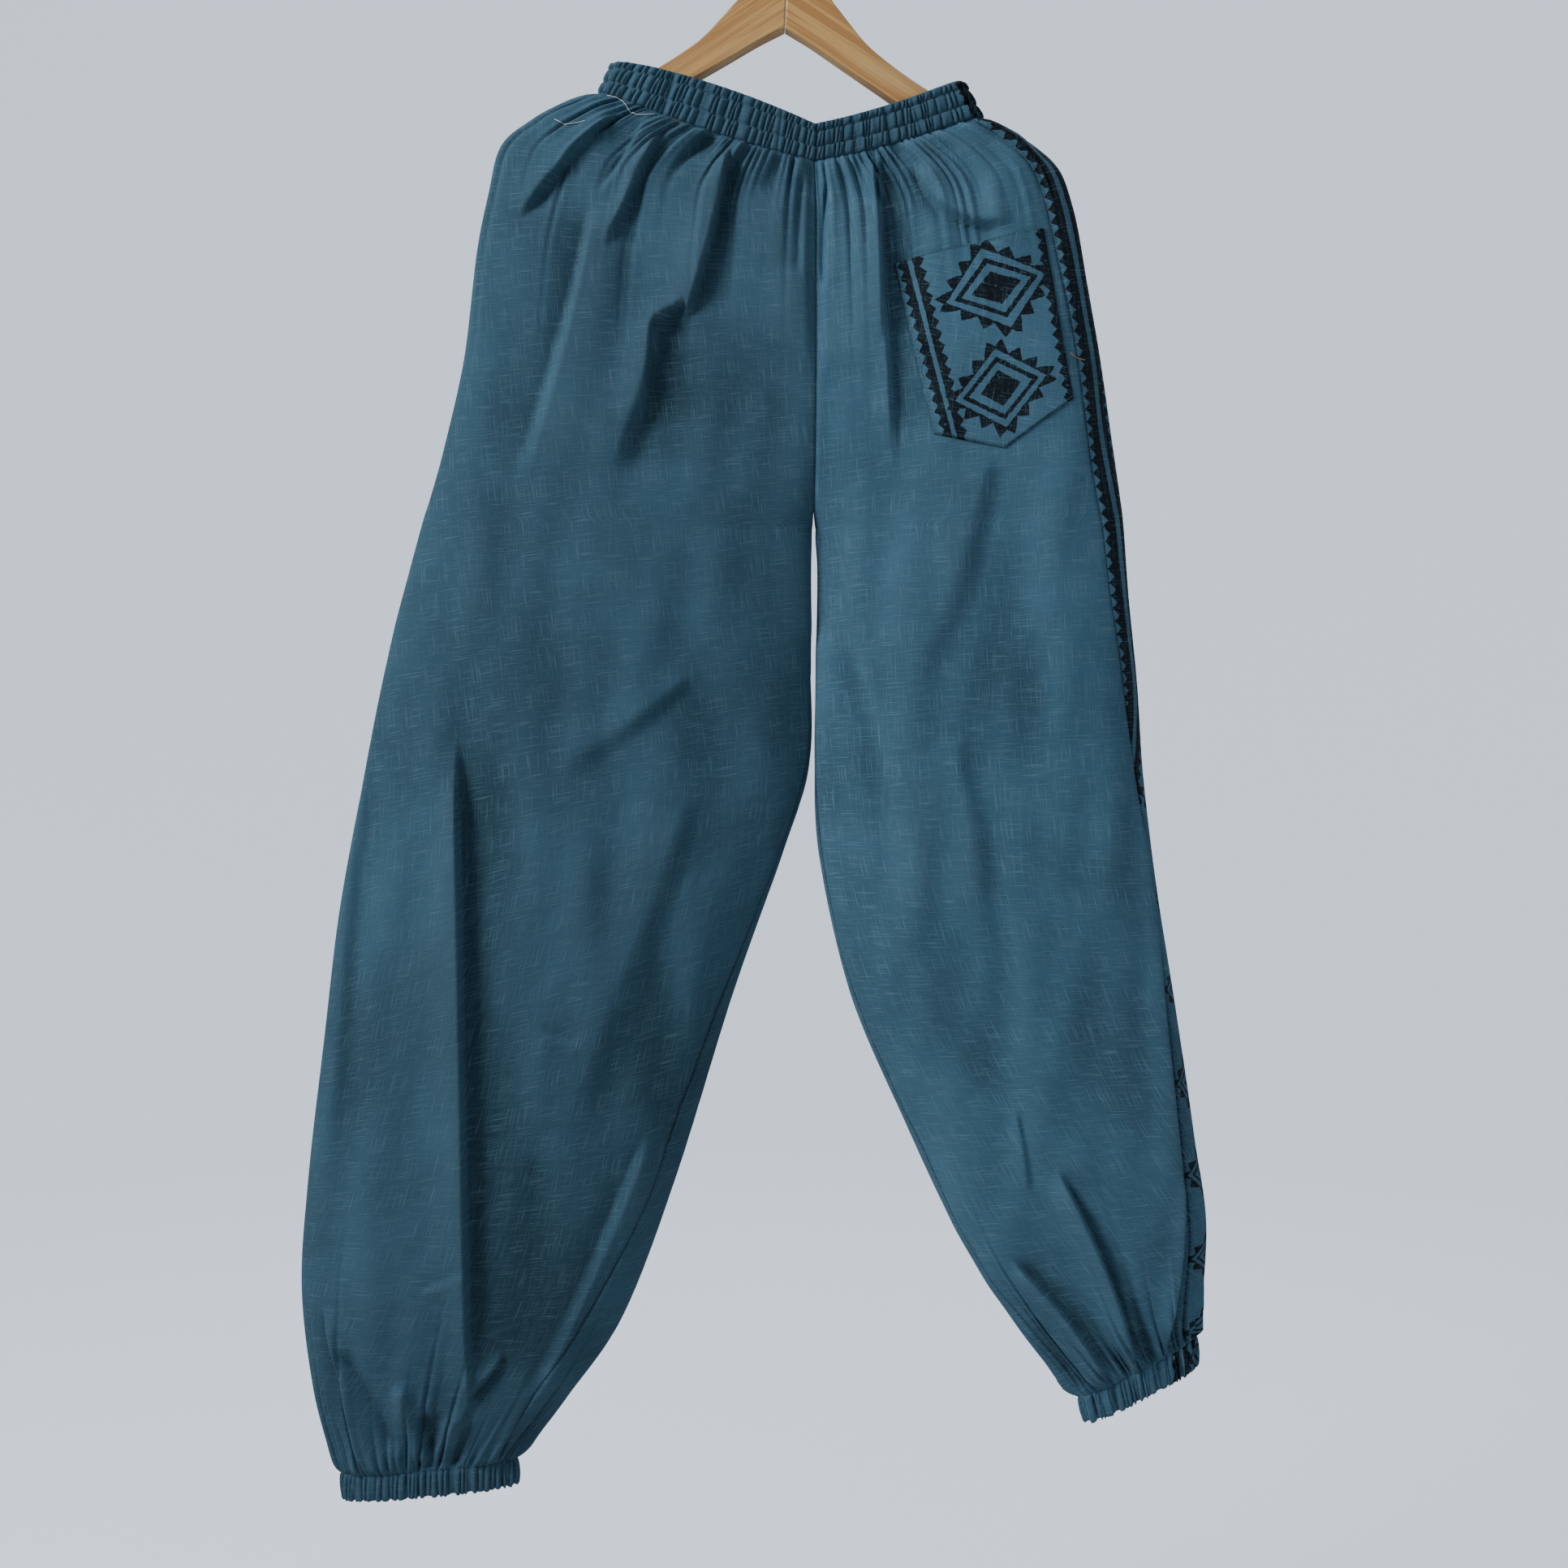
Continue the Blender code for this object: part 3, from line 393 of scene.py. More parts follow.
def ripple_lift(flat, seed):
    random = np.random.default_rng(seed)
    total = np.zeros(len(flat))
    for wavelength in np.geomspace(30.0, 150.0, 16):
        heading = random.uniform(-0.5, 0.5) + (0.0 if random.uniform() < 0.75 else 1.4)
        phase = random.uniform(0.0, 2.0 * math.pi)
        line = flat[:, 0] * math.cos(heading) + flat[:, 1] * math.sin(heading) * 0.6
        total += wavelength ** 0.8 * np.sin(2.0 * math.pi * line / wavelength + phase)
    return total * 0.014


print("ridges under the waistband:", sum(BAND_WAVES.values()))

# %% [markdown]
# ## From a table to a sheet of cloth
# A cut piece is a grid of points: rows run round the leg and columns run down it. Each
# point starts on its path and moves straight out by the sum of its folds, gathers and
# ripples. Along every seam the cloth dips a little and then turns inside as a seam
# allowance, so that no light shows between two pieces. The grid also stores two maps:
# `Grain` measures the weave along and across the threads, and `Print` measures
# millimetres from the side seam, where the block printer started.

# %% Grid to mesh
def cloth_object(name, grid, maps, fold=None, flipped=False):
    rows, columns = grid.shape[:2]
    numbers = np.arange(rows * columns).reshape(rows, columns)
    corners = [numbers[:-1, :-1], numbers[:-1, 1:], numbers[1:, 1:], numbers[1:, :-1]]
    if flipped:
        corners.reverse()
    faces = np.stack([corner.ravel() for corner in corners], axis=1)
    mesh = bpy.data.meshes.new(name)
    mesh.from_pydata((grid.reshape(-1, 3) * MM).tolist(), [], faces.tolist())
    loops = np.empty(len(mesh.loops), dtype=np.int32)
    mesh.loops.foreach_get("vertex_index", loops)
    for title, values in maps.items():
        layer = mesh.uv_layers.new(name=title)
        layer.data.foreach_set("uv", values.reshape(-1, 2)[loops].astype(np.float32).ravel())
    if fold is not None:
        # The Fold attribute holds the height that the cotton finish turns into painted shade and painted
        # highlight.
        stored = mesh.attributes.new("Fold", "FLOAT", "POINT")
        stored.data.foreach_set("value", fold.astype(np.float32).ravel())
    mesh.shade_smooth()
    made = bpy.data.objects.new(name, mesh)
    bpy.context.scene.collection.objects.link(made)
    return made


def turned(u, v, degrees):
    angle = math.radians(degrees)
    return np.stack((u * math.cos(angle) - v * math.sin(angle),
                     u * math.sin(angle) + v * math.cos(angle)), axis=-1) * MM


# %% Rows of a leg
ROW_PITCH = 3.0
SEAM_GAP = 0.1
Leg = namedtuple("Leg", "rows paths from_waist from_cuff")


def leg_rows(sections):
    middles = np.array([((s.outer_x + s.inner_x) / 2, (s.outer_z + s.inner_z) / 2)
                        for s in sections])
    spans = np.linalg.norm(np.diff(middles, axis=0), axis=1)
    steps = [max(4, round(span / ROW_PITCH)) for span in spans]
    rows = smooth_rows(sections, steps)
    full = smooth_rows(FULLNESS, steps)
    middle = (rows[:, 0:2] + rows[:, 2:4]) / 2.0
    reach = np.concatenate(((0.0,), np.cumsum(np.linalg.norm(np.diff(middle, axis=0), axis=1))))
    if sections is RIGHT_LEG:
        full[:, 2] *= 1.0 + 0.6 * smooth_step(reach / 50.0) * smooth_step((reach[-1] - reach) / 120.0)
    paths = [Path(row[0:2], row[2:4], *depth, opening_at(row[3])) for row, depth in zip(rows, full)]
    return Leg(rows, paths, reach, reach[-1] - reach)


LEG_ROWS = {side: leg_rows(sections) for side, sections in LEGS.items()}
print("rows:", {side: len(leg.paths) for side, leg in LEG_ROWS.items()})

# %% Lift of the cloth off its path
ARMS_LOWEST_Z = -232.0
CLOTH_ON_ARMS = 7.6
SEAM_DIP = 0.9
SEAM_DIP_WIDTH = 1.3


def cloth_lift(side, base, turn, around, from_waist, from_cuff):
    flat = base[:, (0, 2)]
    on_back = base[:, 1] < 0.0
    lift = np.zeros(len(base))
    for folds, here in ((BACK_FOLDS, on_back), (FRONT_FOLDS, ~on_back)):
        if here.any():
            lift[here] = FOLD_DEPTH * sum(fold_lift(fold, flat[here]) for fold in folds)
            lift[here] += ripple_lift(flat[here], seed=3 if folds is BACK_FOLDS else 4)
    lift = DEEPEST_FOLD * np.tanh(lift / DEEPEST_FOLD) * smooth_step(np.abs(base[:, 1]) / 9.0)
    seed = SEEDS[side]
    ends = (
        (from_waist, BAND_WAVES[side], 34, 90.0, seed, 48.0),
        (from_cuff, CUFF_WAVES[side], 20, 60.0, seed + 1, 38.0),
    )
    for distance, waves, puckers, longest, number, reach in ends:
        lift *= smooth_step((distance + 1.0) / 9.0)
        lift += 1.8 * (ridge_shape(turn, waves, number) - 0.62) * np.exp(-distance / 7.0)
        grown = smooth_step((distance + 2.0) / 9.0)
        lift += grown * gather_lift(turn, distance, (waves + 1) // 2, number, 3.6, reach * 0.45)
        lift += grown * gather_lift(turn, distance, (waves + 2) // 4, number + 7, 6.5, reach)
        lift += grown * pucker_lift(turn, around, distance, puckers, longest, number + 50)
        lift += 2.0 * (1.0 - np.exp(-distance / 3.5)) * np.exp(-distance / 24.0)
    return lift


# %% One panel
PANEL_COLUMNS = {"back": 190, "side": 56, "front": 116}
GRAIN_TURN = {"left": -7.0, "right": 5.0}
TUCK = 25.0
ALLOWANCE = 3.5


def tucked(z):
    return TUCK * float(smooth_step((-560.0 - z) / 110.0))


def panel_grid(side, name):
    leg = LEG_ROWS[side]
    columns = PANEL_COLUMNS[name]
    parts = {key: [] for key in ("base", "outward", "turn", "around", "waist", "cuff",
                                 "seam", "centre", "grain", "print")}
    for row, path, waist, cuff in zip(leg.rows, leg.paths, leg.from_waist, leg.from_cuff):
        inseam = path.inseam_length(max(row[6], 0.0)) if path.opening == 0.0 else 0.0
        side_back, side_front = path.back_length(row[4]), path.front_length(row[5])
        start, end = {"back": (inseam, side_back), "side": (side_back, side_front),
                      "front": (side_front, path.total + inseam)}[name]
        lengths = np.linspace(start + SEAM_GAP / 2, end - SEAM_GAP / 2, columns + 1)
        parts["base"].append(path.at(lengths))
        parts["outward"].append(path.outward(lengths))
        parts["turn"].append(np.mod(lengths, path.total) / path.total)
        parts["around"].append(np.full(columns + 1, path.total))
        parts["waist"].append(np.full(columns + 1, waist))
        parts["cuff"].append(np.full(columns + 1, cuff))
        parts["seam"].append(np.minimum(lengths - start, end - lengths))
        from_centre = np.minimum(lengths, path.total - lengths)
        parts["centre"].append(from_centre if path.opening > 0.0 else np.full(columns + 1, 99.0))
        parts["grain"].append(turned(lengths, np.full(columns + 1, waist), GRAIN_TURN[side]))
        across = lengths - side_back + tucked(row[1])
        parts["print"].append(np.stack((across, np.full(columns + 1, waist)), axis=-1))
    shape = (len(leg.paths), columns + 1)
    return shape, {key: np.concatenate(values) for key, values in parts.items()}


def build_panel(side, name):
    shape, at = panel_grid(side, name)
    lift = cloth_lift(side, at["base"], at["turn"], at["around"], at["waist"], at["cuff"])
    lift *= 0.25 + 0.75 * smooth_step(at["centre"] / 9.0)
    dip = np.exp(-(at["seam"] / SEAM_DIP_WIDTH) ** 2)
    # Painted shade: the stored fold height drops along each seam, so the finish paints a dark line there.
    folds = lift - 5.0 * dip
    lift -= SEAM_DIP * dip
    cloth = at["base"] + at["outward"] * lift[:, None]
    over_arms = (at["base"][:, 2] > ARMS_LOWEST_Z) & (np.abs(at["base"][:, 1]) > CLOTH_ON_ARMS)
    pressed = over_arms & (np.abs(cloth[:, 1]) < CLOTH_ON_ARMS)
    cloth[pressed, 1] = np.sign(at["base"][pressed, 1]) * CLOTH_ON_ARMS
    grid = cloth.reshape(*shape, 3)
    outward = at["outward"].reshape(*shape, 3)
    maps = {"Grain": at["grain"].reshape(*shape, 2), "Print": at["print"].reshape(*shape, 2)}
    folds = folds.reshape(shape)
    grid, maps, folds = with_allowances(grid, outward, maps, folds)
    return cloth_object(f"{name}_cloth_{side}", grid, maps, folds, flipped=side == "right")


def with_allowances(grid, outward, maps, folds):
    """Adds the seam allowances: two columns on each side and a row at each end."""
    for edge, beside in ((0, 1), (-1, -2)):
        inward = -outward[:, edge]
        along = grid[:, beside] - grid[:, edge]
        along /= np.linalg.norm(along, axis=1)[:, None]
        bend = grid[:, edge] + inward * 0.9
        inside = grid[:, edge] + inward * 2.6 + along * ALLOWANCE
        extra = (bend, inside) if edge == -1 else (inside, bend)
        extra = np.stack(extra, axis=1)
        copies = {title: np.stack((values[:, edge],) * 2, axis=1) for title, values in maps.items()}
        flats = np.stack((folds[:, edge],) * 2, axis=1)
        order = slice(None, None, 1 if edge == -1 else -1)
        grid = np.concatenate((grid, extra)[order], axis=1)
        maps = {title: np.concatenate((values, copies[title])[order], axis=1)
                for title, values in maps.items()}
        folds = np.concatenate((folds, flats)[order], axis=1)
        outward = np.concatenate((outward, np.stack((outward[:, edge],) * 2, axis=1))[order], axis=1)
    for edge in (0, -1):
        rise = 3.0 if edge == 0 else -3.0
        extra = grid[edge] - outward[edge] * 1.4 + np.array((0.0, 0.0, rise))
        order = slice(None, None, 1 if edge == -1 else -1)
        grid = np.concatenate((grid, extra[None])[order], axis=0)
        maps = {title: np.concatenate((values, values[edge][None])[order], axis=0)
                for title, values in maps.items()}
        folds = np.concatenate((folds, folds[edge][None])[order], axis=0)
    return grid, maps, folds


PIECES = {}
for side in ("left", "right"):
    for name in ("back", "side", "front"):
        PIECES[f"{name}_panel_{side}"] = build_panel(side, name)
        print(f"{name}_panel_{side}", len(PIECES[f"{name}_panel_{side}"].data.polygons), "faces")

# %% [markdown]
# ## The waistband
# The band is a casing of doubled cloth, sewn down on elastic in two rows of stitches. That
# leaves three puffed rows, and every gather breaks where a stitch row pinches it. So the
# band's outer face is a function of the height: `puff` swells between the stitch rows and
# the ridges keep their own slant in each row. The inside stays plain. The band is a closed
# ring with a real thickness, because its top edge shows.

# %% Waistband
BandEdge = namedtuple("BandEdge", "left_x left_z centre_x centre_z right_x right_z sag_left sag_right")
BAND_BOTTOM = BandEdge(-131.7, -145.0, 20.7, -196.0, 140.9, -162.4, 3.5, 3.5)
BAND_TOP = BandEdge(-121.8, -123.5, 21.3, -169.6, 127.0, -136.3, -5.0, 3.0)
BAND_HALF_DEPTH = 11.0
BAND_SQUARE = 8.0
BAND_THICKNESS = 1.8
STITCH_ROWS = (0.37, 0.78)
POINTS_A_WAVE = 12
BAND_STEPS = 36
PLAIN_STEP = 5


def row_puff(height, seams, swell):
    """How far a casing stands out between its stitched rows, and how open its gathers are."""
    marks = (0.0, *seams, 1.0)
    for low, high in zip(marks[:-1], marks[1:]):
        if low <= height <= high:
            share = (height - low) / (high - low)
            bulge = math.sqrt(max(0.0, 1.0 - (2.0 * share - 1.0) ** 2))
            return swell * bulge, 0.45 + 0.55 * bulge, share - 0.5
    return 0.0, 1.0, 0.0


def band_ring(edge, height):
    """Outer and inner points, grain and print places, and ridge values for painted shade, round the waist
    from the centre back.
    """
    puff, gathered, lean = row_puff(height, STITCH_ROWS, 2.0)
    ends = (("left", (edge.left_x, edge.left_z), edge.sag_left),
            ("right", (edge.right_x, edge.right_z), edge.sag_right))
    halves = []
    for side, outer, sag in ends:
        path = Path(outer, (edge.centre_x, edge.centre_z), BAND_HALF_DEPTH, BAND_HALF_DEPTH,
                    BAND_SQUARE, sag, 1.0)
        lengths = np.linspace(0.0, path.total, BAND_WAVES[side] * POINTS_A_WAVE + 1)
        turn = lengths / path.total
        slant = lean * 0.4 / BAND_WAVES[side] * (1.0 if side == "left" else -1.0)
        ridges = ridge_shape(turn + slant, BAND_WAVES[side], SEEDS[side], 0.5) - 0.7
        bunches = ridge_shape(turn, BAND_WAVES[side] // 3, SEEDS[side], 0.8) - 0.6
        lift = puff + gathered * (3.2 * ridges + 1.6 * bunches)
        points = path.at(lengths) + path.outward(lengths) * lift[:, None]
        inside = path.at(lengths) - path.outward(lengths) * BAND_THICKNESS
        seam = path.back_length(10.0 if side == "right" else -4.0)
        across = (lengths - seam) * 1.6
        grain = lengths * 1.5
        # Painted shade: the ridge values, scaled up, are stored so the finish darkens the creases between
        # the gathers.
        halves.append((points, inside, np.stack((grain, across), axis=-1), 13.0 * ridges))
    left, right = halves
    return tuple(np.concatenate((a[:-1], b[::-1])) for a, b in zip(left, right))


def band_grid():
    bottom, top = np.array(BAND_BOTTOM), np.array(BAND_TOP)
    outer, inner, maps, lifts = [], [], [], []
    for height in np.linspace(0.0, 1.0, BAND_STEPS):
        points, inside, measures, lift = band_ring(BandEdge(*(bottom + (top - bottom) * height)), height)
        outer.append(points)
        inner.append(inside)
        down = np.full(len(points), (1.0 - height) * 38.0)
        maps.append((measures[:, 0], measures[:, 1], down))
        lifts.append(lift)
    return outer, inner, maps, lifts


def casing_object(name, outer, inner, maps, lifts, print_side=None):
    """A closed ring: up the outer face, over the top edge and down the plain inside."""
    plain = inner[::-PLAIN_STEP]
    loops = outer + [(outer[-1] + inner[-1]) / 2 + (0.0, 0.0, 0.6)] + plain + [outer[0]]
    extra = [maps[-1]] + maps[::-PLAIN_STEP] + [maps[0]]
    folds = lifts + [lifts[-1]] + [np.zeros_like(lifts[0])] * len(plain) + [lifts[0]]
    grid = np.stack(loops)
    measures = maps + extra
    grain = np.stack([np.stack((m[0], m[2]), axis=-1) * MM for m in measures])
    prints = np.stack([np.stack((m[1], m[2]), axis=-1) for m in measures])
    made = cloth_object(name, grid, {"Grain": grain, "Print": prints}, np.stack(folds))
    shell = bmesh.new()
    shell.from_mesh(made.data)
    bmesh.ops.remove_doubles(shell, verts=shell.verts, dist=1e-6)
    bmesh.ops.recalc_face_normals(shell, faces=shell.faces)
    shell.to_mesh(made.data)
    shell.free()
    made.data.shade_smooth()
    return made


band_rows = band_grid()
PIECES["waistband"] = casing_object("waistband_cloth", *band_rows)
print("waistband:", len(PIECES["waistband"].data.polygons), "faces")

# %% [markdown]
# ## The cuffs
# Each leg ends in a narrow elastic casing. It is made as the waistband is, but as one
# puffed row with no stitches drawn, and its upper edge takes the last section of the leg,
# so that the leg's gathers run into it.

# %% Cuffs
CuffEdge = namedtuple("CuffEdge", "outer_x outer_z inner_x inner_z")
CUFF_BOTTOM = {
    "left": CuffEdge(-316.0, -1147.4, -191.2, -1136.4),
    "right": CuffEdge(295.0, -1051.5, 215.0, -1092.7),
}
CUFF_HALF_DEPTH = 12.0
CUFF_SQUARE = 3.0
CUFF_THICKNESS = 1.6
CUFF_STEPS = 16


def cuff_grid(side):
    top = np.array(LEGS[side][-1][0:4])
    bottom = np.array(CUFF_BOTTOM[side])
    waves = CUFF_WAVES[side]
    outer, inner, maps, lifts = [], [], [], []
    for height in np.linspace(0.0, 1.0, CUFF_STEPS):
        edge = bottom + (top - bottom) * height
        path = Path(edge[0:2], edge[2:4], CUFF_HALF_DEPTH, CUFF_HALF_DEPTH, CUFF_SQUARE)
        lengths = np.linspace(0.0, path.total, waves * POINTS_A_WAVE + 1)
        puff, gathered, lean = row_puff(height, (), 0.9)
        turn = lengths / path.total
        ridges = ridge_shape(turn + 0.25 * lean / waves, waves, SEEDS[side] + 1, 0.5) - 0.7
        bunches = ridge_shape(turn, waves // 4, SEEDS[side] + 8, 0.8) - 0.6
        lift = puff + gathered * (2.6 * ridges + 2.4 * bunches)
        outward = path.outward(lengths)
        outer.append(path.at(lengths) + outward * lift[:, None])
        outer[-1][:, 2] -= (1.0 - height) * (1.0 * ridges + 2.2 * bunches)
        inner.append(path.at(lengths) - outward * CUFF_THICKNESS)
        seam = path.back_length(LEGS[side][-1].side_back)
        maps.append((lengths * 1.5, (lengths - seam) * 1.6 + TUCK,
                     np.full(len(lengths), (1.0 - height) * 18.0 + 950.0)))
        # Painted shade: the ridge values, scaled up, are stored so the finish darkens the creases between
        # the gathers.
        lifts.append(13.0 * ridges)
    return outer, inner, maps, lifts


for side in ("left", "right"):
    PIECES[f"cuff_{side}"] = casing_object(f"cuff_cloth_{side}", *cuff_grid(side))
    print(f"cuff_{side}", len(PIECES[f"cuff_{side}"].data.polygons), "faces")

# %% [markdown]
# ## The pocket
# The patch lies on the right back and follows every fold beneath it. Each of its points is
# found by a straight shot at the panel, and then lifted off it. Its edges are turned
# under, so the lift falls to nothing at the sides. The top edge is open and stands a
# little further off, with a hem.

# %% Pocket
POCKET_CORNERS = {
    "upper_left": (76.9, -270.1), "upper_right": (182.5, -246.2),
    "lower_right": (203.5, -365.8), "tip": (154.3, -402.2), "lower_left": (104.2, -392.5),
}
POCKET_TIP_SHARE = 0.52
POCKET_COLUMNS = 84
POCKET_ROWS = 96
POCKET_LIFT = 1.7
POCKET_EDGE = 2.4
corner = {name: np.array(place) for name, place in POCKET_CORNERS.items()}


def pocket_place(across, down):
    upper = corner["upper_left"] * (1 - across) + corner["upper_right"] * across
    if across <= POCKET_TIP_SHARE:
        share = across / POCKET_TIP_SHARE
        lower = corner["lower_left"] * (1 - share) + corner["tip"] * share
    else:
        share = (across - POCKET_TIP_SHARE) / (1 - POCKET_TIP_SHARE)
        lower = corner["tip"] * (1 - share) + corner["lower_right"] * share
    return upper + (lower - upper) * down


def surface_of(piece):
    shell = bmesh.new()
    shell.from_mesh(piece.data)
    bmesh.ops.triangulate(shell, faces=shell.faces)
    tree = BVHTree.FromBMesh(shell)
    shell.free()
    return tree


back_surface = surface_of(PIECES["back_panel_right"])


def on_back(x, z, lift=0.0):
    """The point of the right back behind x and z, moved out towards the viewer."""
    hit = back_surface.ray_cast(Vector((x, -200.0, z)) * MM, Vector((0.0, 1.0, 0.0)))[0]
    return np.array((x, hit.y / MM - lift, z))


def edge_share(value, count, near=7):
    """Points crowd towards a patch's edges, where it turns under."""
    share = value / count
    return 0.5 - 0.5 * math.cos(math.pi * share) if near else share


def build_pocket():
    width = np.linalg.norm(corner["upper_right"] - corner["upper_left"])
    height = np.linalg.norm(corner["lower_left"] - corner["upper_left"])
    grid = np.zeros((POCKET_ROWS + 1, POCKET_COLUMNS + 1, 3))
    folds = np.zeros(grid.shape[:2])
    for row in range(POCKET_ROWS + 1):
        down = edge_share(row, POCKET_ROWS)
        for column in range(POCKET_COLUMNS + 1):
            across = edge_share(column, POCKET_COLUMNS)
            x, z = pocket_place(across, down)
            from_edge = min(across * width, (1 - across) * width, (1 - down) * height)
            turned_under = math.sqrt(1.0 - max(0.0, 1.0 - from_edge / POCKET_EDGE) ** 2)
            from_top = down * height
            hem = 0.9 * math.exp(-(from_top / 6.0) ** 2)
            slack = 1.6 * math.sin(math.pi * across) * math.exp(-(from_top / 26.0) ** 2)
            lift = (POCKET_LIFT + slack + hem) * turned_under - 0.2
            if from_top < 0.8:
                lift -= 0.8 * (1.0 - from_top / 0.8)
            grid[row, column] = on_back(x, z, lift)
            # Painted shade: a dark line along the pocket's turned-under edges and its top, where the step
            # shades the panel.
            folds[row, column] = -12.0 * math.exp(-(min(from_edge, from_top) / 1.1) ** 2)
    flat = grid[:, :, (0, 2)]
    maps = {"Grain": turned(flat[:, :, 0], flat[:, :, 1], 8.0), "Print": flat}
    return cloth_object("pocket_cloth", grid, maps, folds, flipped=True)


PIECES["back_pocket"] = build_pocket()
print("pocket:", len(PIECES["back_pocket"].data.polygons), "faces")

# %% [markdown]
# ## A short hand for shader nodes
# A material here is a small tree of nodes. The class below adds a node and joins its
# inputs in one line, so that the recipes further down read as what they mix, not as how
# Blender links sockets. A number or colour that is the same all over goes straight on the
# shader's own socket.

# %% Shader helper
class Finish:
    def __init__(self, name):
        self.material = bpy.data.materials.new(name)
        self.material.use_nodes = True
        self.tree = self.material.node_tree
        self.surface = self.tree.nodes["Principled BSDF"]

    def join(self, socket, value):
        if isinstance(value, bpy.types.NodeSocket):
            self.tree.links.new(value, socket)
        else:
            socket.default_value = value

    def node(self, kind, inputs, **settings):
        made = self.tree.nodes.new(kind)
        for name, value in settings.items():
            setattr(made, name, value)
        for name, value in dict(inputs).items():
            self.join(made.inputs[name], value)
        return made

    def math(self, operation, *values):
        return self.node("ShaderNodeMath", enumerate(values), operation=operation).outputs[0]

    def noise(self, place, scale, detail=2.0, stretch=(1.0, 1.0, 1.0)):
        if stretch != (1.0, 1.0, 1.0):
            place = self.node("ShaderNodeMapping", {"Vector": place, "Scale": stretch}).outputs[0]
        return self.node("ShaderNodeTexNoise",
                         {"Vector": place, "Scale": scale, "Detail": detail}).outputs[0]

    def ramp(self, value, low, high, start=0.0, end=1.0):
        return self.node("ShaderNodeMapRange", {
            "Value": value, "From Min": low, "From Max": high, "To Min": start, "To Max": end,
        }, interpolation_type="SMOOTHSTEP").outputs[0]

    def mix(self, share, first, second, blend="MIX"):
        return self.node("ShaderNodeMix", {0: share, 6: first, 7: second},
                         data_type="RGBA", blend_type=blend).outputs[2]

    def bump(self, height, strength, distance):
        made = self.node("ShaderNodeBump", {"Height": height, "Strength": strength,
                                            "Distance": distance})
        self.join(self.surface.inputs["Normal"], made.outputs[0])

    def set(self, **values):
        for name, value in values.items():
            self.join(self.surface.inputs[name.replace("_", " ").title().replace("Ior", "IOR")], value)


print("a shader has", len(Finish("sample").surface.inputs), "inputs")
bpy.data.materials.remove(bpy.data.materials["sample"])

# %% [markdown]
# ## The block print
# The cloth is stamped with a carved block and dark ink: stripes edged with saw-teeth, and
# nested diamonds with a saw-tooth border, as common in block printing. Such shapes need
# no picture. A tooth is a triangle wave, which Ping-Pong gives, and a diamond is the place
# where |across| / width + |down| / height stays under 1. Each function returns 1 in the
# ink and 0 outside it. A little noise on the coordinates makes the edges as uneven as
# a hand-stamped print.

# %% Print shapes
TOOTH_PITCH = 8.9


def stripe_ink(finish, across, down, edge, stripe, tooth):
    """Solid for a stripe's width past the edge, with teeth on the side of smaller `across`."""
    wave = finish.math("DIVIDE", finish.math("PINGPONG", down, TOOTH_PITCH / 2), TOOTH_PITCH / 2)
    teeth = finish.math("MULTIPLY", wave, tooth)
    start = finish.math("SUBTRACT", edge, teeth)
    past = finish.math("GREATER_THAN", across, start)
    before = finish.math("LESS_THAN", across, edge + stripe)
    return finish.math("MULTIPLY", past, before)


def diamond_ink(finish, across, down, core, line, line_width, border, teeth, tooth):
    """Nested diamonds; core, line and border are half widths and half heights."""
    wide, tall = finish.math("ABSOLUTE", across), finish.math("ABSOLUTE", down)

    def reach(half):
        return finish.math("ADD", finish.math("DIVIDE", wide, half[0]),
                           finish.math("DIVIDE", tall, half[1]))

    inside = finish.math("LESS_THAN", reach(core), 1.0)
    thin = line_width / min(line)
    ring = finish.math("MULTIPLY", finish.math("LESS_THAN", reach(line), 1.0),
                       finish.math("GREATER_THAN", reach(line), 1.0 - thin))
    outer = reach(border)
    along = finish.math("SUBTRACT", finish.math("DIVIDE", wide, border[0]),
                        finish.math("DIVIDE", tall, border[1]))
    along = finish.math("DIVIDE", along, outer)
    wave = finish.math("PINGPONG", finish.math("MULTIPLY", along, teeth), 1.0)
    height = tooth * math.hypot(*border) / (border[0] * border[1])
    limit = finish.math("MULTIPLY_ADD", finish.math("ADD", wave, 0.16), height, 1.0)
    saw = finish.math("MULTIPLY", finish.math("GREATER_THAN", outer, 1.0),
                      finish.math("LESS_THAN", outer, limit))
    return finish.math("MAXIMUM", finish.math("MAXIMUM", inside, ring), saw)


def split(finish, uv, wobble=0.5):
    """The print's across and down in millimetres, shaken a little."""
    noise = finish.node("ShaderNodeTexNoise", {"Vector": uv, "Scale": 0.35, "Detail": 2.0})
    shake = finish.node("ShaderNodeVectorMath", {0: noise.outputs[1], 1: (0.5, 0.5, 0.5)},
                        operation="SUBTRACT").outputs[0]
    moved = finish.node("ShaderNodeVectorMath", {0: shake, 1: (3.2 * wobble,) * 3, 2: uv},
                        operation="MULTIPLY_ADD").outputs[0]
    parts = finish.node("ShaderNodeSeparateXYZ", {0: moved})
    return parts.outputs[0], parts.outputs[1]


# %% Print of the side panel
SIDE_MIDDLE = 52.0
MEDALLION_PITCH = 70.0


def side_ink(finish, uv):
    across, down = split(finish, uv)
    from_middle = finish.math("ABSOLUTE", finish.math("SUBTRACT", across, SIDE_MIDDLE))
    inner = stripe_ink(finish, from_middle, down, SIDE_MIDDLE - 21.4, 5.4, 4.6)
    flipped = finish.math("MULTIPLY", from_middle, -1.0)
    outer = stripe_ink(finish, flipped, down, -(SIDE_MIDDLE - 5.0), 6.2, 4.6)
    stepped = finish.math("PINGPONG", finish.math("ADD", down, 20.0), MEDALLION_PITCH / 2)
    medallion = diamond_ink(finish, finish.math("SUBTRACT", across, SIDE_MIDDLE), stepped,
                            (13.0, 11.0), (21.0, 17.5), 2.6, (25.0, 21.0), 3.0, 5.5)
    return finish.math("MAXIMUM", finish.math("MAXIMUM", inner, outer), medallion)


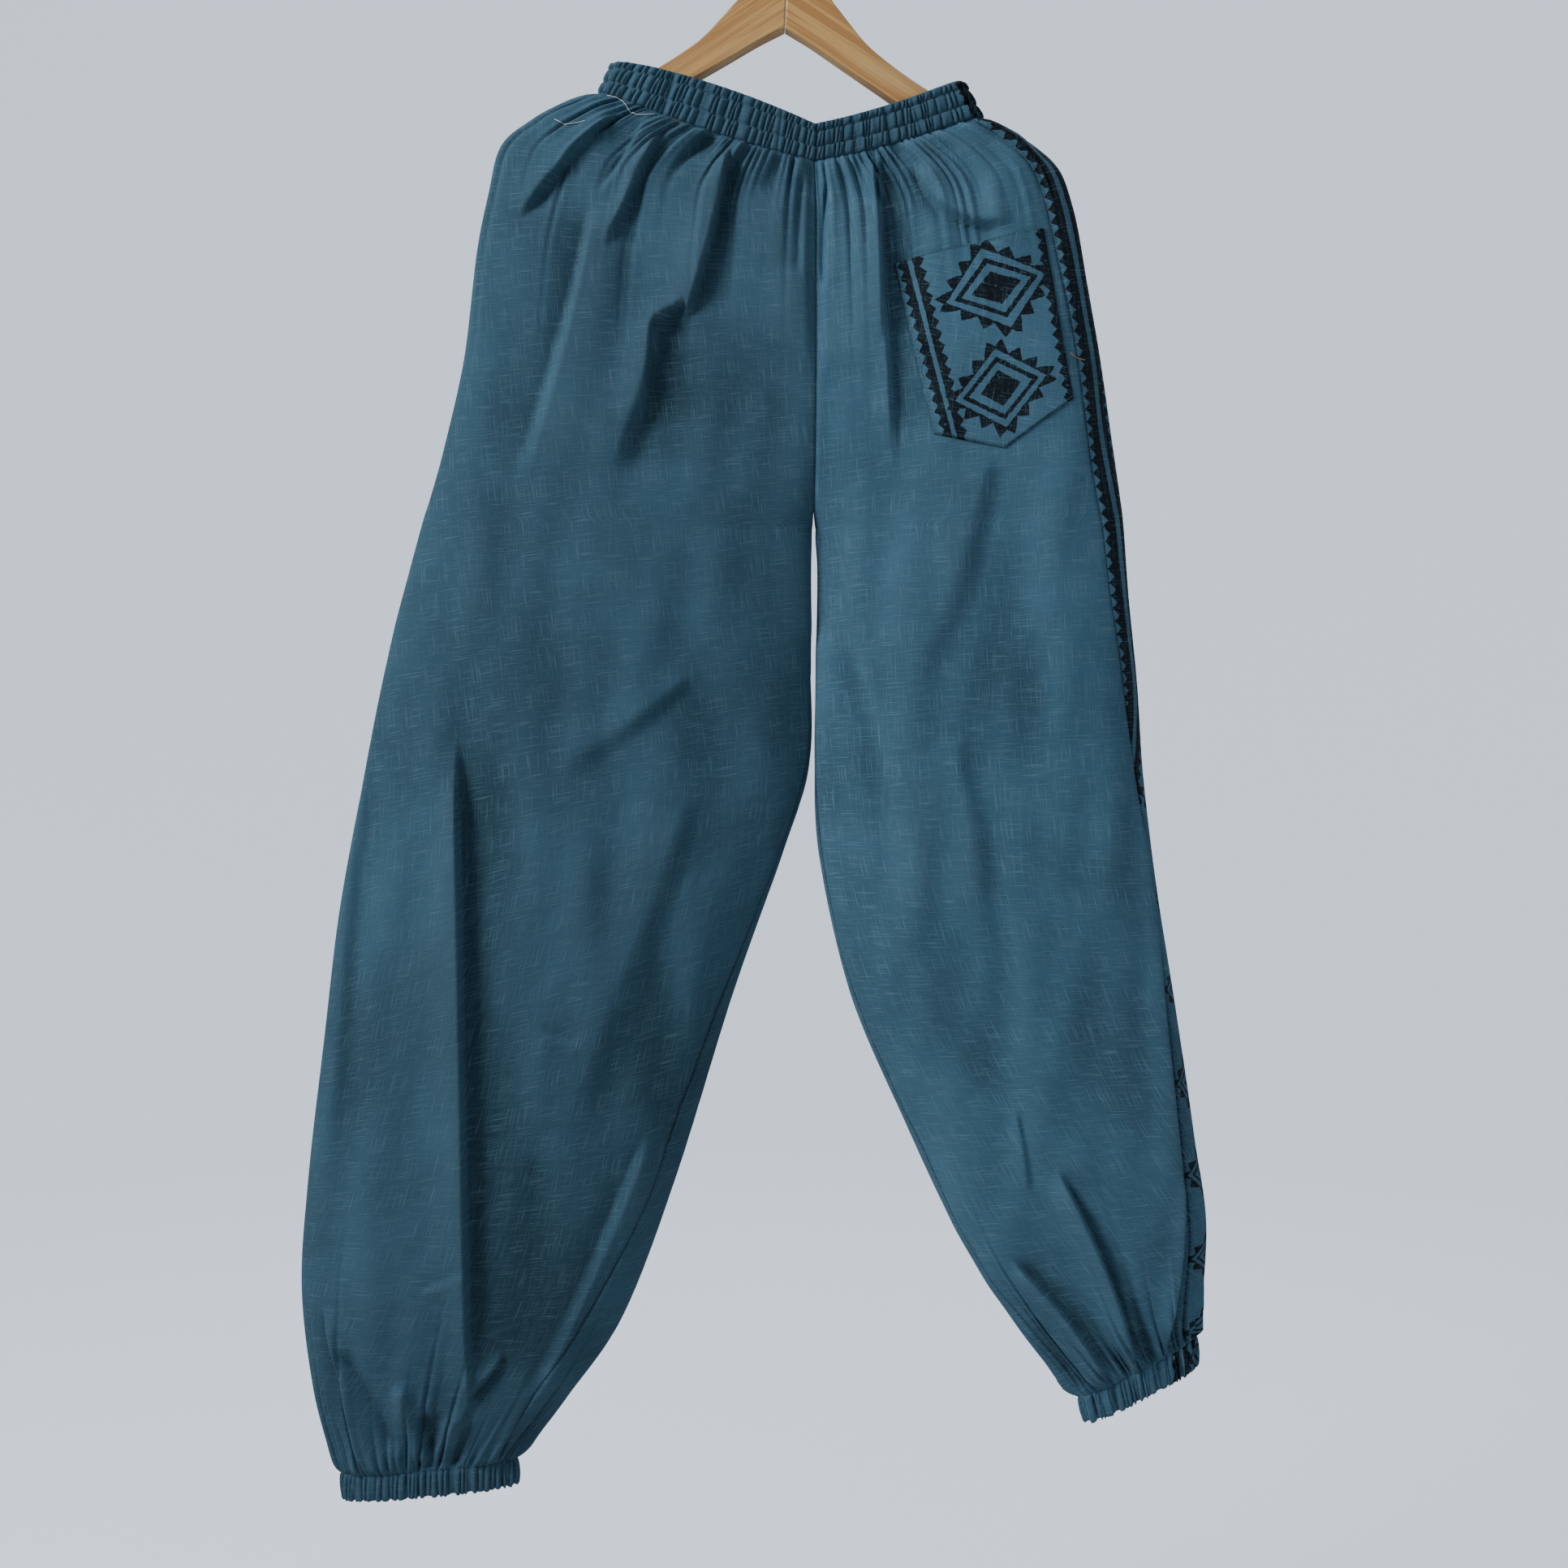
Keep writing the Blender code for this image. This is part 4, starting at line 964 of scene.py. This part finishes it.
# %% Print of the pocket
Diamond = namedtuple("Diamond", "centre rise lean core line border")
POCKET_DIAMONDS = (
    Diamond((148.2, -289.3), 17.0, 21.0, (18.2, 12.0), (30.9, 22.1), (36.5, 29.5)),
    Diamond((151.4, -359.7), 16.0, 8.0, (14.8, 13.0), (28.0, 22.5), (33.5, 28.0)),
)


def leaning(finish, x, z, diamond):
    """Coordinates along a diamond's own two diagonals, which needn't be square."""
    right = np.array((math.cos(math.radians(diamond.rise)), math.sin(math.radians(diamond.rise))))
    down = np.array((math.sin(math.radians(diamond.lean)), -math.cos(math.radians(diamond.lean))))
    inverse = np.linalg.inv(np.stack((right, down), axis=1))
    offset = [finish.math("SUBTRACT", value, middle) for value, middle in zip((x, z), diamond.centre)]
    return [finish.math("ADD", finish.math("MULTIPLY", offset[0], float(row[0])),
                        finish.math("MULTIPLY", offset[1], float(row[1]))) for row in inverse]


def edge_distance(finish, x, z, start, end):
    """Distance to the right of a line down the pocket, and distance along it."""
    run = (end - start) / np.linalg.norm(end - start)
    offset = [finish.math("SUBTRACT", value, float(place)) for value, place in zip((x, z), start)]
    results = []
    for direction in ((-run[1], run[0]), run):
        parts = [finish.math("MULTIPLY", value, float(share)) for value, share in zip(offset, direction)]
        results.append(finish.math("ADD", *parts))
    return results


def pocket_ink(finish, uv):
    x, z = split(finish, uv)
    across, down = edge_distance(finish, x, z, corner["upper_left"] - (3.0, 0.0),
                                 corner["lower_left"])
    left = stripe_ink(finish, across, down, 8.0, 4.2, 3.6)
    right = stripe_ink(finish, finish.math("MULTIPLY", across, -1.0), down, -19.6, 4.2, 3.8)
    beside, below = edge_distance(finish, x, z, corner["upper_right"], corner["lower_right"])
    edge = stripe_ink(finish, beside, below, -3.9, 3.4, 3.8)
    ink = finish.math("MAXIMUM", finish.math("MAXIMUM", left, right), edge)
    for diamond in POCKET_DIAMONDS:
        wide, tall = leaning(finish, x, z, diamond)
        shape = diamond_ink(finish, wide, tall, diamond.core, diamond.line, 3.9,
                            diamond.border, 4.0, 7.0)
        ink = finish.math("MAXIMUM", ink, shape)
    return ink


# %% [markdown]
# ## The cotton
# The cloth is a plain weave of uneven yarn. Thick places in a thread, called slubs, show
# as short pale dashes along the weft and, more rarely, along the warp. Noise stretched
# forty to one gives such dashes, and a narrow ramp keeps only the strongest. Slow noise
# adds the cloudy look of hand-dyed cotton. The stored fold height paints shade into the
# hollows, seam lines and pocket edges and a painted highlight onto the crests, and each
# piece's tone is painted light too, a lit or a shaded copy of the one cloth.
# The same dashes drive a faint bump.

# %% Cotton finish
TEAL = (0.031, 0.084, 0.132)
# The pale colour of the slub thread, also used for the painted highlight on fold crests.
PALE_THREAD_AND_HIGHLIGHT = (0.088, 0.172, 0.230)
# Painted shade: the colour laid into creases, seam lines and pocket edges.
PAINTED_CREASE_SHADE = (0.006, 0.024, 0.038)
INK = (0.0045, 0.0060, 0.0080)
STAIN = (0.12, 0.11, 0.07)
STAIN_PLACE = (-0.075, -0.012, -0.166)


def scaled(colour, share):
    return (*(channel * share for channel in colour), 1.0)


def cotton(name, painted_light_tone=1.0, ink=None, stained=False):
    finish = Finish(name)
    uv = finish.node("ShaderNodeUVMap", {}, uv_map="Grain").outputs[0]
    weft = finish.noise(uv, 1.0, 2.0, (52.0, 1300.0, 1.0))
    warp = finish.noise(uv, 1.0, 2.0, (1400.0, 42.0, 1.0))
    fine = finish.noise(uv, 1.0, 3.0, (700.0, 1900.0, 1.0))
    dashes = finish.math("MULTIPLY", finish.ramp(weft, 0.52, 0.72), 0.62)
    uprights = finish.math("MULTIPLY", finish.ramp(warp, 0.52, 0.73), 0.58)
    slubs = finish.math("MAXIMUM", dashes, uprights)
    clouds = finish.noise(uv, 9.0, 4.0)
    patches = finish.noise(uv, 38.0, 3.0)
    base = finish.mix(finish.ramp(clouds, 0.28, 0.72), scaled(TEAL, 0.80 * painted_light_tone), scaled(TEAL, 1.20 * painted_light_tone))
    base = finish.mix(finish.ramp(patches, 0.25, 0.75, 0.0, 0.30), base, scaled(TEAL, 0.82 * painted_light_tone))
    # Painted shade: where the stored fold height is low (creases, seam lines, pocket edges) the colour goes
    # darker.
    fold = finish.node("ShaderNodeAttribute", {}, attribute_name="Fold").outputs["Fac"]
    base = finish.mix(finish.ramp(fold, 0.0, -7.0, 0.0, 0.75), base, scaled(PAINTED_CREASE_SHADE, 1.0))
    # Painted highlight: the crests of the folds are paled from the stored fold height.
    base = finish.mix(finish.ramp(fold, 0.5, 7.0, 0.0, 0.22), base, scaled(PALE_THREAD_AND_HIGHLIGHT, 0.8))
    base = finish.mix(finish.ramp(fine, 0.30, 0.75, 0.0, 0.30), base, scaled(PALE_THREAD_AND_HIGHLIGHT, 0.75 * painted_light_tone))
    colour = finish.mix(slubs, base, scaled(PALE_THREAD_AND_HIGHLIGHT, painted_light_tone))
    if stained:
        place = finish.node("ShaderNodeTexCoord", {}).outputs["Object"]
        away = finish.node("ShaderNodeVectorMath", {0: place, 1: STAIN_PLACE},
                           operation="DISTANCE").outputs["Value"]
        ragged = finish.math("ADD", away, finish.math("MULTIPLY", patches, 0.012))
        colour = finish.mix(finish.ramp(ragged, 0.013, 0.008, 0.0, 0.45), colour, (*STAIN, 1.0))
    roughness = 0.88
    if ink:
        stamp = finish.node("ShaderNodeUVMap", {}, uv_map="Print").outputs[0]
        worn = finish.noise(stamp, 0.45, 5.0)
        threads = finish.math("MULTIPLY", finish.ramp(slubs, 0.1, 0.6), 0.35)
        cover = finish.math("SUBTRACT", finish.ramp(worn, 0.70, 0.60, 0.35, 0.97), threads)
        cover = finish.math("MULTIPLY", ink(finish, stamp), cover)
        colour = finish.mix(cover, colour, (*INK, 1.0))
        roughness = finish.ramp(cover, 0.0, 1.0, 0.88, 0.70)
    height = finish.math("ADD", finish.math("MULTIPLY", slubs, 0.8), finish.math("MULTIPLY", fine, 0.5))
    finish.bump(height, 0.5, 0.0004)
    finish.set(base_color=colour, roughness=roughness, sheen_weight=0.04, sheen_roughness=0.45,
               sheen_tint=(0.62, 0.74, 0.82, 1.0), specular_ior_level=0.10)
    return finish.material


# Painted light: the right leg is a lit copy and the left leg a shaded copy of one cotton, and the cuffs are
# a little darker still.
PAINTED_LIGHT_TONE = {"left": 0.88, "right": 1.26}
for side in ("left", "right"):
    for name in ("back", "front"):
        PIECES[f"{name}_panel_{side}"].data.materials.append(
            cotton(f"cotton_{name}_{side}", PAINTED_LIGHT_TONE[side], stained=(side, name) == ("left", "back")))
    PIECES[f"side_panel_{side}"].data.materials.append(
        cotton(f"printed_cotton_{side}", PAINTED_LIGHT_TONE[side], side_ink))
    PIECES[f"cuff_{side}"].data.materials.append(
        cotton(f"cuff_cotton_{side}", PAINTED_LIGHT_TONE[side] * 0.95, side_ink if side == "right" else None))
# Painted light: the pocket is a brighter copy and the band a darker copy of the same cotton.
PIECES["back_pocket"].data.materials.append(cotton("pocket_cotton", 1.34, pocket_ink))
PIECES["waistband"].data.materials.append(cotton("band_cotton", 0.86, side_ink))
print(len(bpy.data.materials), "finishes")

# %% [markdown]
# ## Stitches
# Thread is thin, but it is what makes a pocket look sewn on. Every row of stitches follows
# a line on the cloth, so one Geometry Nodes tree serves them all: it spaces points along
# the line, puts a small rounded stitch on each, and makes the copies real.

# %% Geometry Nodes tree for a row of stitches
STITCH_LENGTH = 2.2
STITCH_PITCH = 3.1
THREAD_WIDTH = 0.45


def stitch_tree():
    tree = bpy.data.node_groups.new("Row of stitches", "GeometryNodeTree")
    tree.interface.new_socket("Line", in_out="INPUT", socket_type="NodeSocketGeometry")
    for title in ("Pitch", "Length", "Width"):
        tree.interface.new_socket(title, in_out="INPUT", socket_type="NodeSocketFloat")
    tree.interface.new_socket("Thread", in_out="INPUT", socket_type="NodeSocketMaterial")
    tree.interface.new_socket("Stitches", in_out="OUTPUT", socket_type="NodeSocketGeometry")
    start, end = tree.nodes.new("NodeGroupInput"), tree.nodes.new("NodeGroupOutput")
    curve = tree.nodes.new("GeometryNodeMeshToCurve")
    points = tree.nodes.new("GeometryNodeCurveToPoints")
    points.mode = "LENGTH"
    ball = tree.nodes.new("GeometryNodeMeshUVSphere")
    ball.inputs["Segments"].default_value = 6
    ball.inputs["Rings"].default_value = 4
    ball.inputs["Radius"].default_value = 0.5
    size = tree.nodes.new("ShaderNodeCombineXYZ")
    copies = tree.nodes.new("GeometryNodeInstanceOnPoints")
    realize = tree.nodes.new("GeometryNodeRealizeInstances")
    finish = tree.nodes.new("GeometryNodeSetMaterial")
    join = tree.links.new
    join(start.outputs["Line"], curve.inputs[0])
    join(curve.outputs[0], points.inputs["Curve"])
    join(start.outputs["Pitch"], points.inputs["Length"])
    join(points.outputs["Points"], copies.inputs["Points"])
    join(points.outputs["Rotation"], copies.inputs["Rotation"])
    join(ball.outputs[0], copies.inputs["Instance"])
    for axis, title in (("X", "Width"), ("Y", "Width"), ("Z", "Length")):
        join(start.outputs[title], size.inputs[axis])
    join(size.outputs[0], copies.inputs["Scale"])
    join(copies.outputs[0], realize.inputs[0])
    join(realize.outputs[0], finish.inputs["Geometry"])
    join(start.outputs["Thread"], finish.inputs["Material"])
    join(finish.outputs[0], end.inputs[0])
    return tree


STITCHES = stitch_tree()


def stitched(name, lines, thread, pitch=STITCH_PITCH, length=STITCH_LENGTH):
    points, edges = [], []
    for line in lines:
        edges += [(len(points) + step, len(points) + step + 1) for step in range(len(line) - 1)]
        points += [Vector(point) * MM for point in line]
    mesh = bpy.data.meshes.new(name)
    mesh.from_pydata(points, edges, [])
    guide = bpy.data.objects.new(name + "_guide", mesh)
    bpy.context.scene.collection.objects.link(guide)
    rows = guide.modifiers.new("Stitches", "NODES")
    rows.node_group = STITCHES
    values = {"Pitch": pitch * MM, "Length": length * MM, "Width": THREAD_WIDTH * MM, "Thread": thread}
    for item in STITCHES.interface.items_tree:
        if item.name in values:
            rows[item.identifier] = values[item.name]
    bpy.context.view_layer.update()
    evaluated = guide.evaluated_get(bpy.context.evaluated_depsgraph_get())
    result = bpy.data.meshes.new_from_object(evaluated)
    result.name = name
    made = bpy.data.objects.new(name, result)
    bpy.context.scene.collection.objects.link(made)
    bpy.data.objects.remove(guide)
    result.shade_smooth()
    return made


def thread_finish(name, colour):
    finish = Finish(name)
    place = finish.node("ShaderNodeTexCoord", {}).outputs["Object"]
    twist = finish.noise(place, 1500.0, 2.0)
    shade = finish.mix(finish.ramp(twist, 0.35, 0.65), scaled(colour, 0.7), scaled(colour, 1.2))
    finish.bump(twist, 0.4, 0.0002)
    finish.set(base_color=shade, roughness=0.8, sheen_weight=0.2)
    return finish.material


# %% Rows of stitches
def pocket_row(steps=160, inset=1.9):
    width = np.linalg.norm(corner["upper_right"] - corner["upper_left"])
    height = np.linalg.norm(corner["lower_left"] - corner["upper_left"])
    left, bottom = inset / width, 1.0 - inset / height
    line = [(left, down) for down in np.linspace(0.01, bottom, steps // 2)]
    line += [(across, bottom) for across in np.linspace(left, 0.985, steps // 2)]
    return [on_back(*pocket_place(across, down), POCKET_LIFT + 0.05) for across, down in line]


def band_row(height, out=0.12):
    bottom, top = np.array(BAND_BOTTOM), np.array(BAND_TOP)
    edge = BandEdge(*(bottom + (top - bottom) * height))
    points, inside = band_ring(edge, height)[:2]
    outward = points - inside
    outward /= np.linalg.norm(outward, axis=1)[:, None]
    return list(points[::3] + outward[::3] * out)


teal_thread = thread_finish("teal_thread", (0.045, 0.110, 0.150))
SEWING = {
    "pocket_stitches": stitched("pocket_stitches", [pocket_row()], teal_thread),
    "band_stitches": stitched("band_stitches", [band_row(height) for height in STITCH_ROWS], teal_thread),
}
for name, piece in SEWING.items():
    print(name, len(piece.data.polygons), "faces")

# %% [markdown]
# ## Loose threads
# Three thread ends hang on the cloth, two pale ones on the left hip and a tan one by the
# side seam. A bent line with a round section is enough: a Poly curve with a bevel, made
# into a mesh at once.

# %% Loose threads
THREAD_ENDS = {
    "pale_thread_upper": ((-126, -149), (-116, -153), (-108, -163), (-100, -165), (-92, -164)),
    "pale_thread_lower": ((-163, -167), (-158, -170), (-153, -171), (-141, -169)),
    "tan_thread": ((201, -333.5), (205.5, -336.5), (212, -338)),
}


def wire_object(name, route, radius, sides, material, closed_ends=True):
    """A tube along a route in millimetres, as a plain mesh."""
    curve = bpy.data.curves.new(name, "CURVE")
    curve.dimensions = "3D"
    curve.bevel_depth = radius * MM
    curve.bevel_resolution = sides
    curve.use_fill_caps = closed_ends
    line = curve.splines.new("POLY")
    line.points.add(len(route) - 1)
    for point, place in zip(line.points, route):
        point.co = (*(value * MM for value in place), 1.0)
    guide = bpy.data.objects.new(name + "_guide", curve)
    bpy.context.scene.collection.objects.link(guide)
    bpy.context.view_layer.update()
    evaluated = guide.evaluated_get(bpy.context.evaluated_depsgraph_get())
    mesh = bpy.data.meshes.new_from_object(evaluated)
    mesh.name = name
    mesh.shade_smooth()
    mesh.materials.clear()
    mesh.materials.append(material)
    made = bpy.data.objects.new(name, mesh)
    bpy.context.scene.collection.objects.link(made)
    bpy.data.objects.remove(guide)
    return made


surfaces = {name: surface_of(PIECES[name]) for name in
            ("back_panel_left", "back_panel_right", "side_panel_right", "back_pocket")}


def front_point(x, z, lift):
    """The foremost cloth behind x and z."""
    hits = [tree.ray_cast(Vector((x, -200.0, z)) * MM, Vector((0.0, 1.0, 0.0)))[0]
            for tree in surfaces.values()]
    foremost = min(hit.y for hit in hits if hit is not None)
    return (x, foremost / MM - lift, z)


pale_thread = thread_finish("pale_thread", (0.45, 0.50, 0.52))
tan_thread = thread_finish("tan_thread", (0.42, 0.22, 0.12))
for name, ends in THREAD_ENDS.items():
    route = smooth_rows(ends, [8] * (len(ends) - 1))
    places = [front_point(x, z, 0.5) for x, z in route]
    SEWING[name] = wire_object(name, places, 0.28, 2, tan_thread if "tan" in name else pale_thread)
    print(name, len(SEWING[name].data.polygons), "faces")

# %% [markdown]
# ## The hanger
# Two flat pine arms meet at the middle and run out inside the waistband, under the cloth.
# Their outline is drawn once and mirrored. A real arm is sawn from board and its edges are
# rounded over, so a Bevel modifier of 3 mm does the same here, with enough segments to
# look round. The wire hook sits in the joint.

# %% Hanger arms
WOOD_THICKNESS = 12.0
WOOD_ROUND = 3.0
WOOD_TILT = math.radians(2.2)
WOOD_CENTRE = (0.0, -99.0)
ARM_UPPER = (
    (0.0, 40.0), (14.0, 37.0), (26.0, 29.0), (36.0, 17.0), (46.0, 5.0), (58.0, -8.5),
    (70.0, -18.5), (88.0, -31.0), (108.0, -43.0), (130.0, -55.0), (152.0, -65.0),
    (172.0, -76.6), (184.0, -86.6), (191.0, -96.0), (192.5, -103.0),
)
ARM_LOWER = (
    (192.5, -103.0), (190.0, -109.0), (183.0, -110.5), (173.0, -104.0), (155.0, -92.0),
    (130.0, -78.5), (100.0, -62.5), (70.0, -43.0), (40.0, -24.0), (18.0, -10.0), (0.0, 0.0),
)


def tilted(x, z):
    cos, sin = math.cos(WOOD_TILT), math.sin(WOOD_TILT)
    return WOOD_CENTRE[0] + x * cos + z * sin, WOOD_CENTRE[1] + z * cos - x * sin


def build_arm(side, material):
    sign = -1.0 if side == "left" else 1.0
    upper = smooth_rows(ARM_UPPER, [5] * (len(ARM_UPPER) - 1))
    lower = smooth_rows(ARM_LOWER, [5] * (len(ARM_LOWER) - 1))
    outline = [tilted(sign * max(x, 0.15), z) for x, z in np.vstack((upper, lower[1:]))]
    shell = bmesh.new()
    corners = [shell.verts.new(Vector((x, -WOOD_THICKNESS / 2, z)) * MM) for x, z in outline]
    face = shell.faces.new(corners)
    swept = bmesh.ops.extrude_face_region(shell, geom=[face])
    moved = [item for item in swept["geom"] if isinstance(item, bmesh.types.BMVert)]
    bmesh.ops.translate(shell, verts=moved, vec=(0.0, WOOD_THICKNESS * MM, 0.0))
    bmesh.ops.recalc_face_normals(shell, faces=shell.faces)
    mesh = bpy.data.meshes.new(f"arm_wood_{side}")
    shell.to_mesh(mesh)
    shell.free()
    made = bpy.data.objects.new(f"arm_wood_{side}", mesh)
    bpy.context.scene.collection.objects.link(made)
    mesh.shade_smooth()
    mesh.materials.append(material)
    bevel = made.modifiers.new("Rounded edges", "BEVEL")
    bevel.width = WOOD_ROUND * MM
    bevel.segments = 5
    bevel.limit_method = "ANGLE"
    bevel.angle_limit = math.radians(60)
    bevel.harden_normals = True
    return made


def pine(name, slope):
    """Pale lacquered pine; slope is how steeply the grain runs down, in degrees."""
    finish = Finish(name)
    place = finish.node("ShaderNodeTexCoord", {}).outputs["Object"]
    along = finish.node("ShaderNodeMapping", {
        "Vector": place, "Rotation": (0.0, math.radians(slope), 0.0)}).outputs[0]
    warp = finish.noise(along, 1.0, 3.0, (6.0, 20.0, 40.0))
    rings = finish.noise(along, 1.0, 4.0, (7.0, 60.0, 340.0))
    pores = finish.noise(along, 1.0, 2.0, (60.0, 900.0, 2400.0))
    colour = finish.mix(finish.ramp(rings, 0.40, 0.58), (0.53, 0.31, 0.105, 1.0), (0.37, 0.18, 0.052, 1.0))
    colour = finish.mix(finish.ramp(warp, 0.40, 0.70, 0.0, 0.40), colour, (0.62, 0.42, 0.19, 1.0))
    colour = finish.mix(finish.ramp(pores, 0.62, 0.75, 0.0, 0.35), colour, (0.33, 0.18, 0.07, 1.0))
    finish.bump(finish.math("ADD", rings, pores), 0.15, 0.0003)
    finish.set(base_color=colour, roughness=finish.ramp(rings, 0.3, 0.7, 0.38, 0.52),
               coat_weight=0.25, coat_roughness=0.25)
    return finish.material


for side, slope in (("left", 33.0), ("right", -33.0)):
    PIECES[f"hanger_arm_{side}"] = build_arm(side, pine(f"pine_{side}", slope))
print("arms:", [len(PIECES[f"hanger_arm_{side}"].data.vertices) for side in ("left", "right")])

# %% Hook
HOOK_INSIDE_RADIUS = 19.0
HOOK_WIRE_RADIUS = 1.8
HOOK_SEAT = 0.8


def hook_route():
    radius = HOOK_INSIDE_RADIUS + HOOK_WIRE_RADIUS
    centre_z = -HOOK_INSIDE_RADIUS
    start = np.array(tilted(0.0, ARM_UPPER[0][1] + 0.3 - HOOK_SEAT))
    rise = np.array((math.sin(WOOD_TILT), math.cos(WOOD_TILT)))
    curl_start, curl_end = math.radians(-55), math.radians(205)
    joins = np.array((radius * math.cos(curl_start), centre_z + radius * math.sin(curl_start)))
    heading = np.array((-math.sin(curl_start), math.cos(curl_start)))
    first, last = start + rise * 5.0, joins - heading * 9.0
    second = first + rise * 6.3
    route = [start]
    for share in np.linspace(0.0, 1.0, 16):
        route.append((1 - share) ** 3 * first + 3 * share * (1 - share) ** 2 * second
                     + 3 * share ** 2 * (1 - share) * last + share ** 3 * joins)
    for angle in np.linspace(curl_start, curl_end, 64)[1:]:
        route.append(np.array((radius * math.cos(angle), centre_z + radius * math.sin(angle))))
    return [(x, 0.0, z) for x, z in route]


def bright_wire():
    finish = Finish("bright_wire")
    place = finish.node("ShaderNodeTexCoord", {}).outputs["Object"]
    drawn = finish.noise(place, 400.0, 3.0)
    finish.bump(drawn, 0.05, 0.0002)
    finish.set(base_color=finish.mix(drawn, (0.50, 0.50, 0.50, 1.0), (0.68, 0.68, 0.69, 1.0)),
               metallic=1.0, roughness=finish.ramp(drawn, 0.3, 0.7, 0.18, 0.34))
    return finish.material


PIECES["hanger_hook"] = wire_object("hook_wire", hook_route(), HOOK_WIRE_RADIUS, 5, bright_wire())
print("hook:", len(PIECES["hanger_hook"].data.polygons), "faces")

# %% [markdown]
# ## What stands for what
# Every piece made here hides the solid of the same part and rides on the one body of the
# thing.

Cut = namedtuple("Cut", "width length area held hangs_from")
for node, piece in PIECES.items():
    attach(piece, "root")
    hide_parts(node)
for piece in SEWING.values():
    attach(piece, "root")

# %% [markdown]
# ## Floor, light and camera
# The floor is a wide pale bowl that rises far behind the trousers, so no edge or corner
# shows from any side. One broad soft light from the upper left models the folds, as window
# light would, and a weaker one opens the shadows. The camera stands level with the middle
# of the trousers and looks straight at them.

# %% Stage
FLOOR_Z = -1.5
FLOOR_RADIUS = 3.0
RIM_RADIUS = 4.6
RIM_Z = 3.2


def build_bowl():
    profile = [(FLOOR_RADIUS * share, FLOOR_Z) for share in (0.0, 0.25, 0.5, 0.75)]
    for angle in np.linspace(0.0, math.pi / 2, 24):
        profile.append((FLOOR_RADIUS + (RIM_RADIUS - FLOOR_RADIUS) * math.sin(angle),
                        FLOOR_Z + (RIM_Z - FLOOR_Z) * (1.0 - math.cos(angle))))
    shell = bmesh.new()
    line = [shell.verts.new((radius, 0.0, height)) for radius, height in profile]
    edges = [shell.edges.new(pair) for pair in zip(line[:-1], line[1:])]
    bmesh.ops.spin(shell, geom=line + edges, cent=(0, 0, 0), axis=(0, 0, 1),
                   angle=2 * math.pi, steps=96)
    bmesh.ops.remove_doubles(shell, verts=shell.verts, dist=1e-4)
    bmesh.ops.recalc_face_normals(shell, faces=shell.faces)
    bmesh.ops.reverse_faces(shell, faces=shell.faces)
    mesh = bpy.data.meshes.new("floor_bowl")
    shell.to_mesh(mesh)
    shell.free()
    mesh.shade_smooth()
    bowl = bpy.data.objects.new("floor_bowl", mesh)
    bpy.context.scene.collection.objects.link(bowl)
    finish = Finish("pale_floor")
    seen = finish.node("ShaderNodeLightPath", {}).outputs["Is Camera Ray"]
    glow = finish.mix(seen, (0.0, 0.0, 0.0, 1.0), (0.62, 0.72, 0.88, 1.0))
    finish.set(base_color=(0.50, 0.51, 0.52, 1.0), roughness=0.9, emission_color=glow,
               emission_strength=1.0)
    mesh.materials.append(finish.material)


build_bowl()

# %% Lights
Lamp = namedtuple("Lamp", "name place aim size watts colour")
LAMPS = (
    Lamp("key", (-1.8, -1.05, 0.7), (-0.05, 0.0, -0.5), 0.8, 62.0, (1.0, 0.98, 0.96)),
    Lamp("fill", (1.9, -1.9, -0.3), (0.0, 0.0, -0.65), 2.2, 7.0, (0.92, 0.96, 1.0)),
    Lamp("behind", (0.4, 2.0, 0.8), (0.0, 0.0, -0.5), 1.8, 18.0, (1.0, 1.0, 1.0)),
)
for lamp in LAMPS:
    light = bpy.data.lights.new(lamp.name, "AREA")
    light.size = lamp.size
    light.energy = lamp.watts
    light.color = lamp.colour
    holder = bpy.data.objects.new(lamp.name, light)
    holder.location = lamp.place
    holder.rotation_euler = (Vector(lamp.aim) - Vector(lamp.place)).to_track_quat("-Z", "Y").to_euler()
    bpy.context.scene.collection.objects.link(holder)
world = bpy.data.worlds.new("soft_room")
world.use_nodes = True
world.node_tree.nodes["Background"].inputs["Color"].default_value = (0.86, 0.92, 1.0, 1.0)
world.node_tree.nodes["Background"].inputs["Strength"].default_value = 0.75
bpy.context.scene.world = world
print(len(LAMPS), "lamps")

# %% Camera
EYE = (-0.0006, -1.213, -0.6374)
lens = bpy.data.cameras.new("camera")
lens.lens = 38.95
lens.sensor_width = 36.0
camera = bpy.data.objects.new("camera", lens)
camera.location = EYE
camera.rotation_euler = (math.pi / 2, 0.0, 0.0)
bpy.context.scene.collection.objects.link(camera)
bpy.context.scene.camera = camera

# %% Count the triangles
triangles = 0
for piece in (*PIECES.values(), *SEWING.values()):
    triangles += sum(len(face.vertices) - 2 for face in piece.data.polygons)
print("triangles:", triangles)
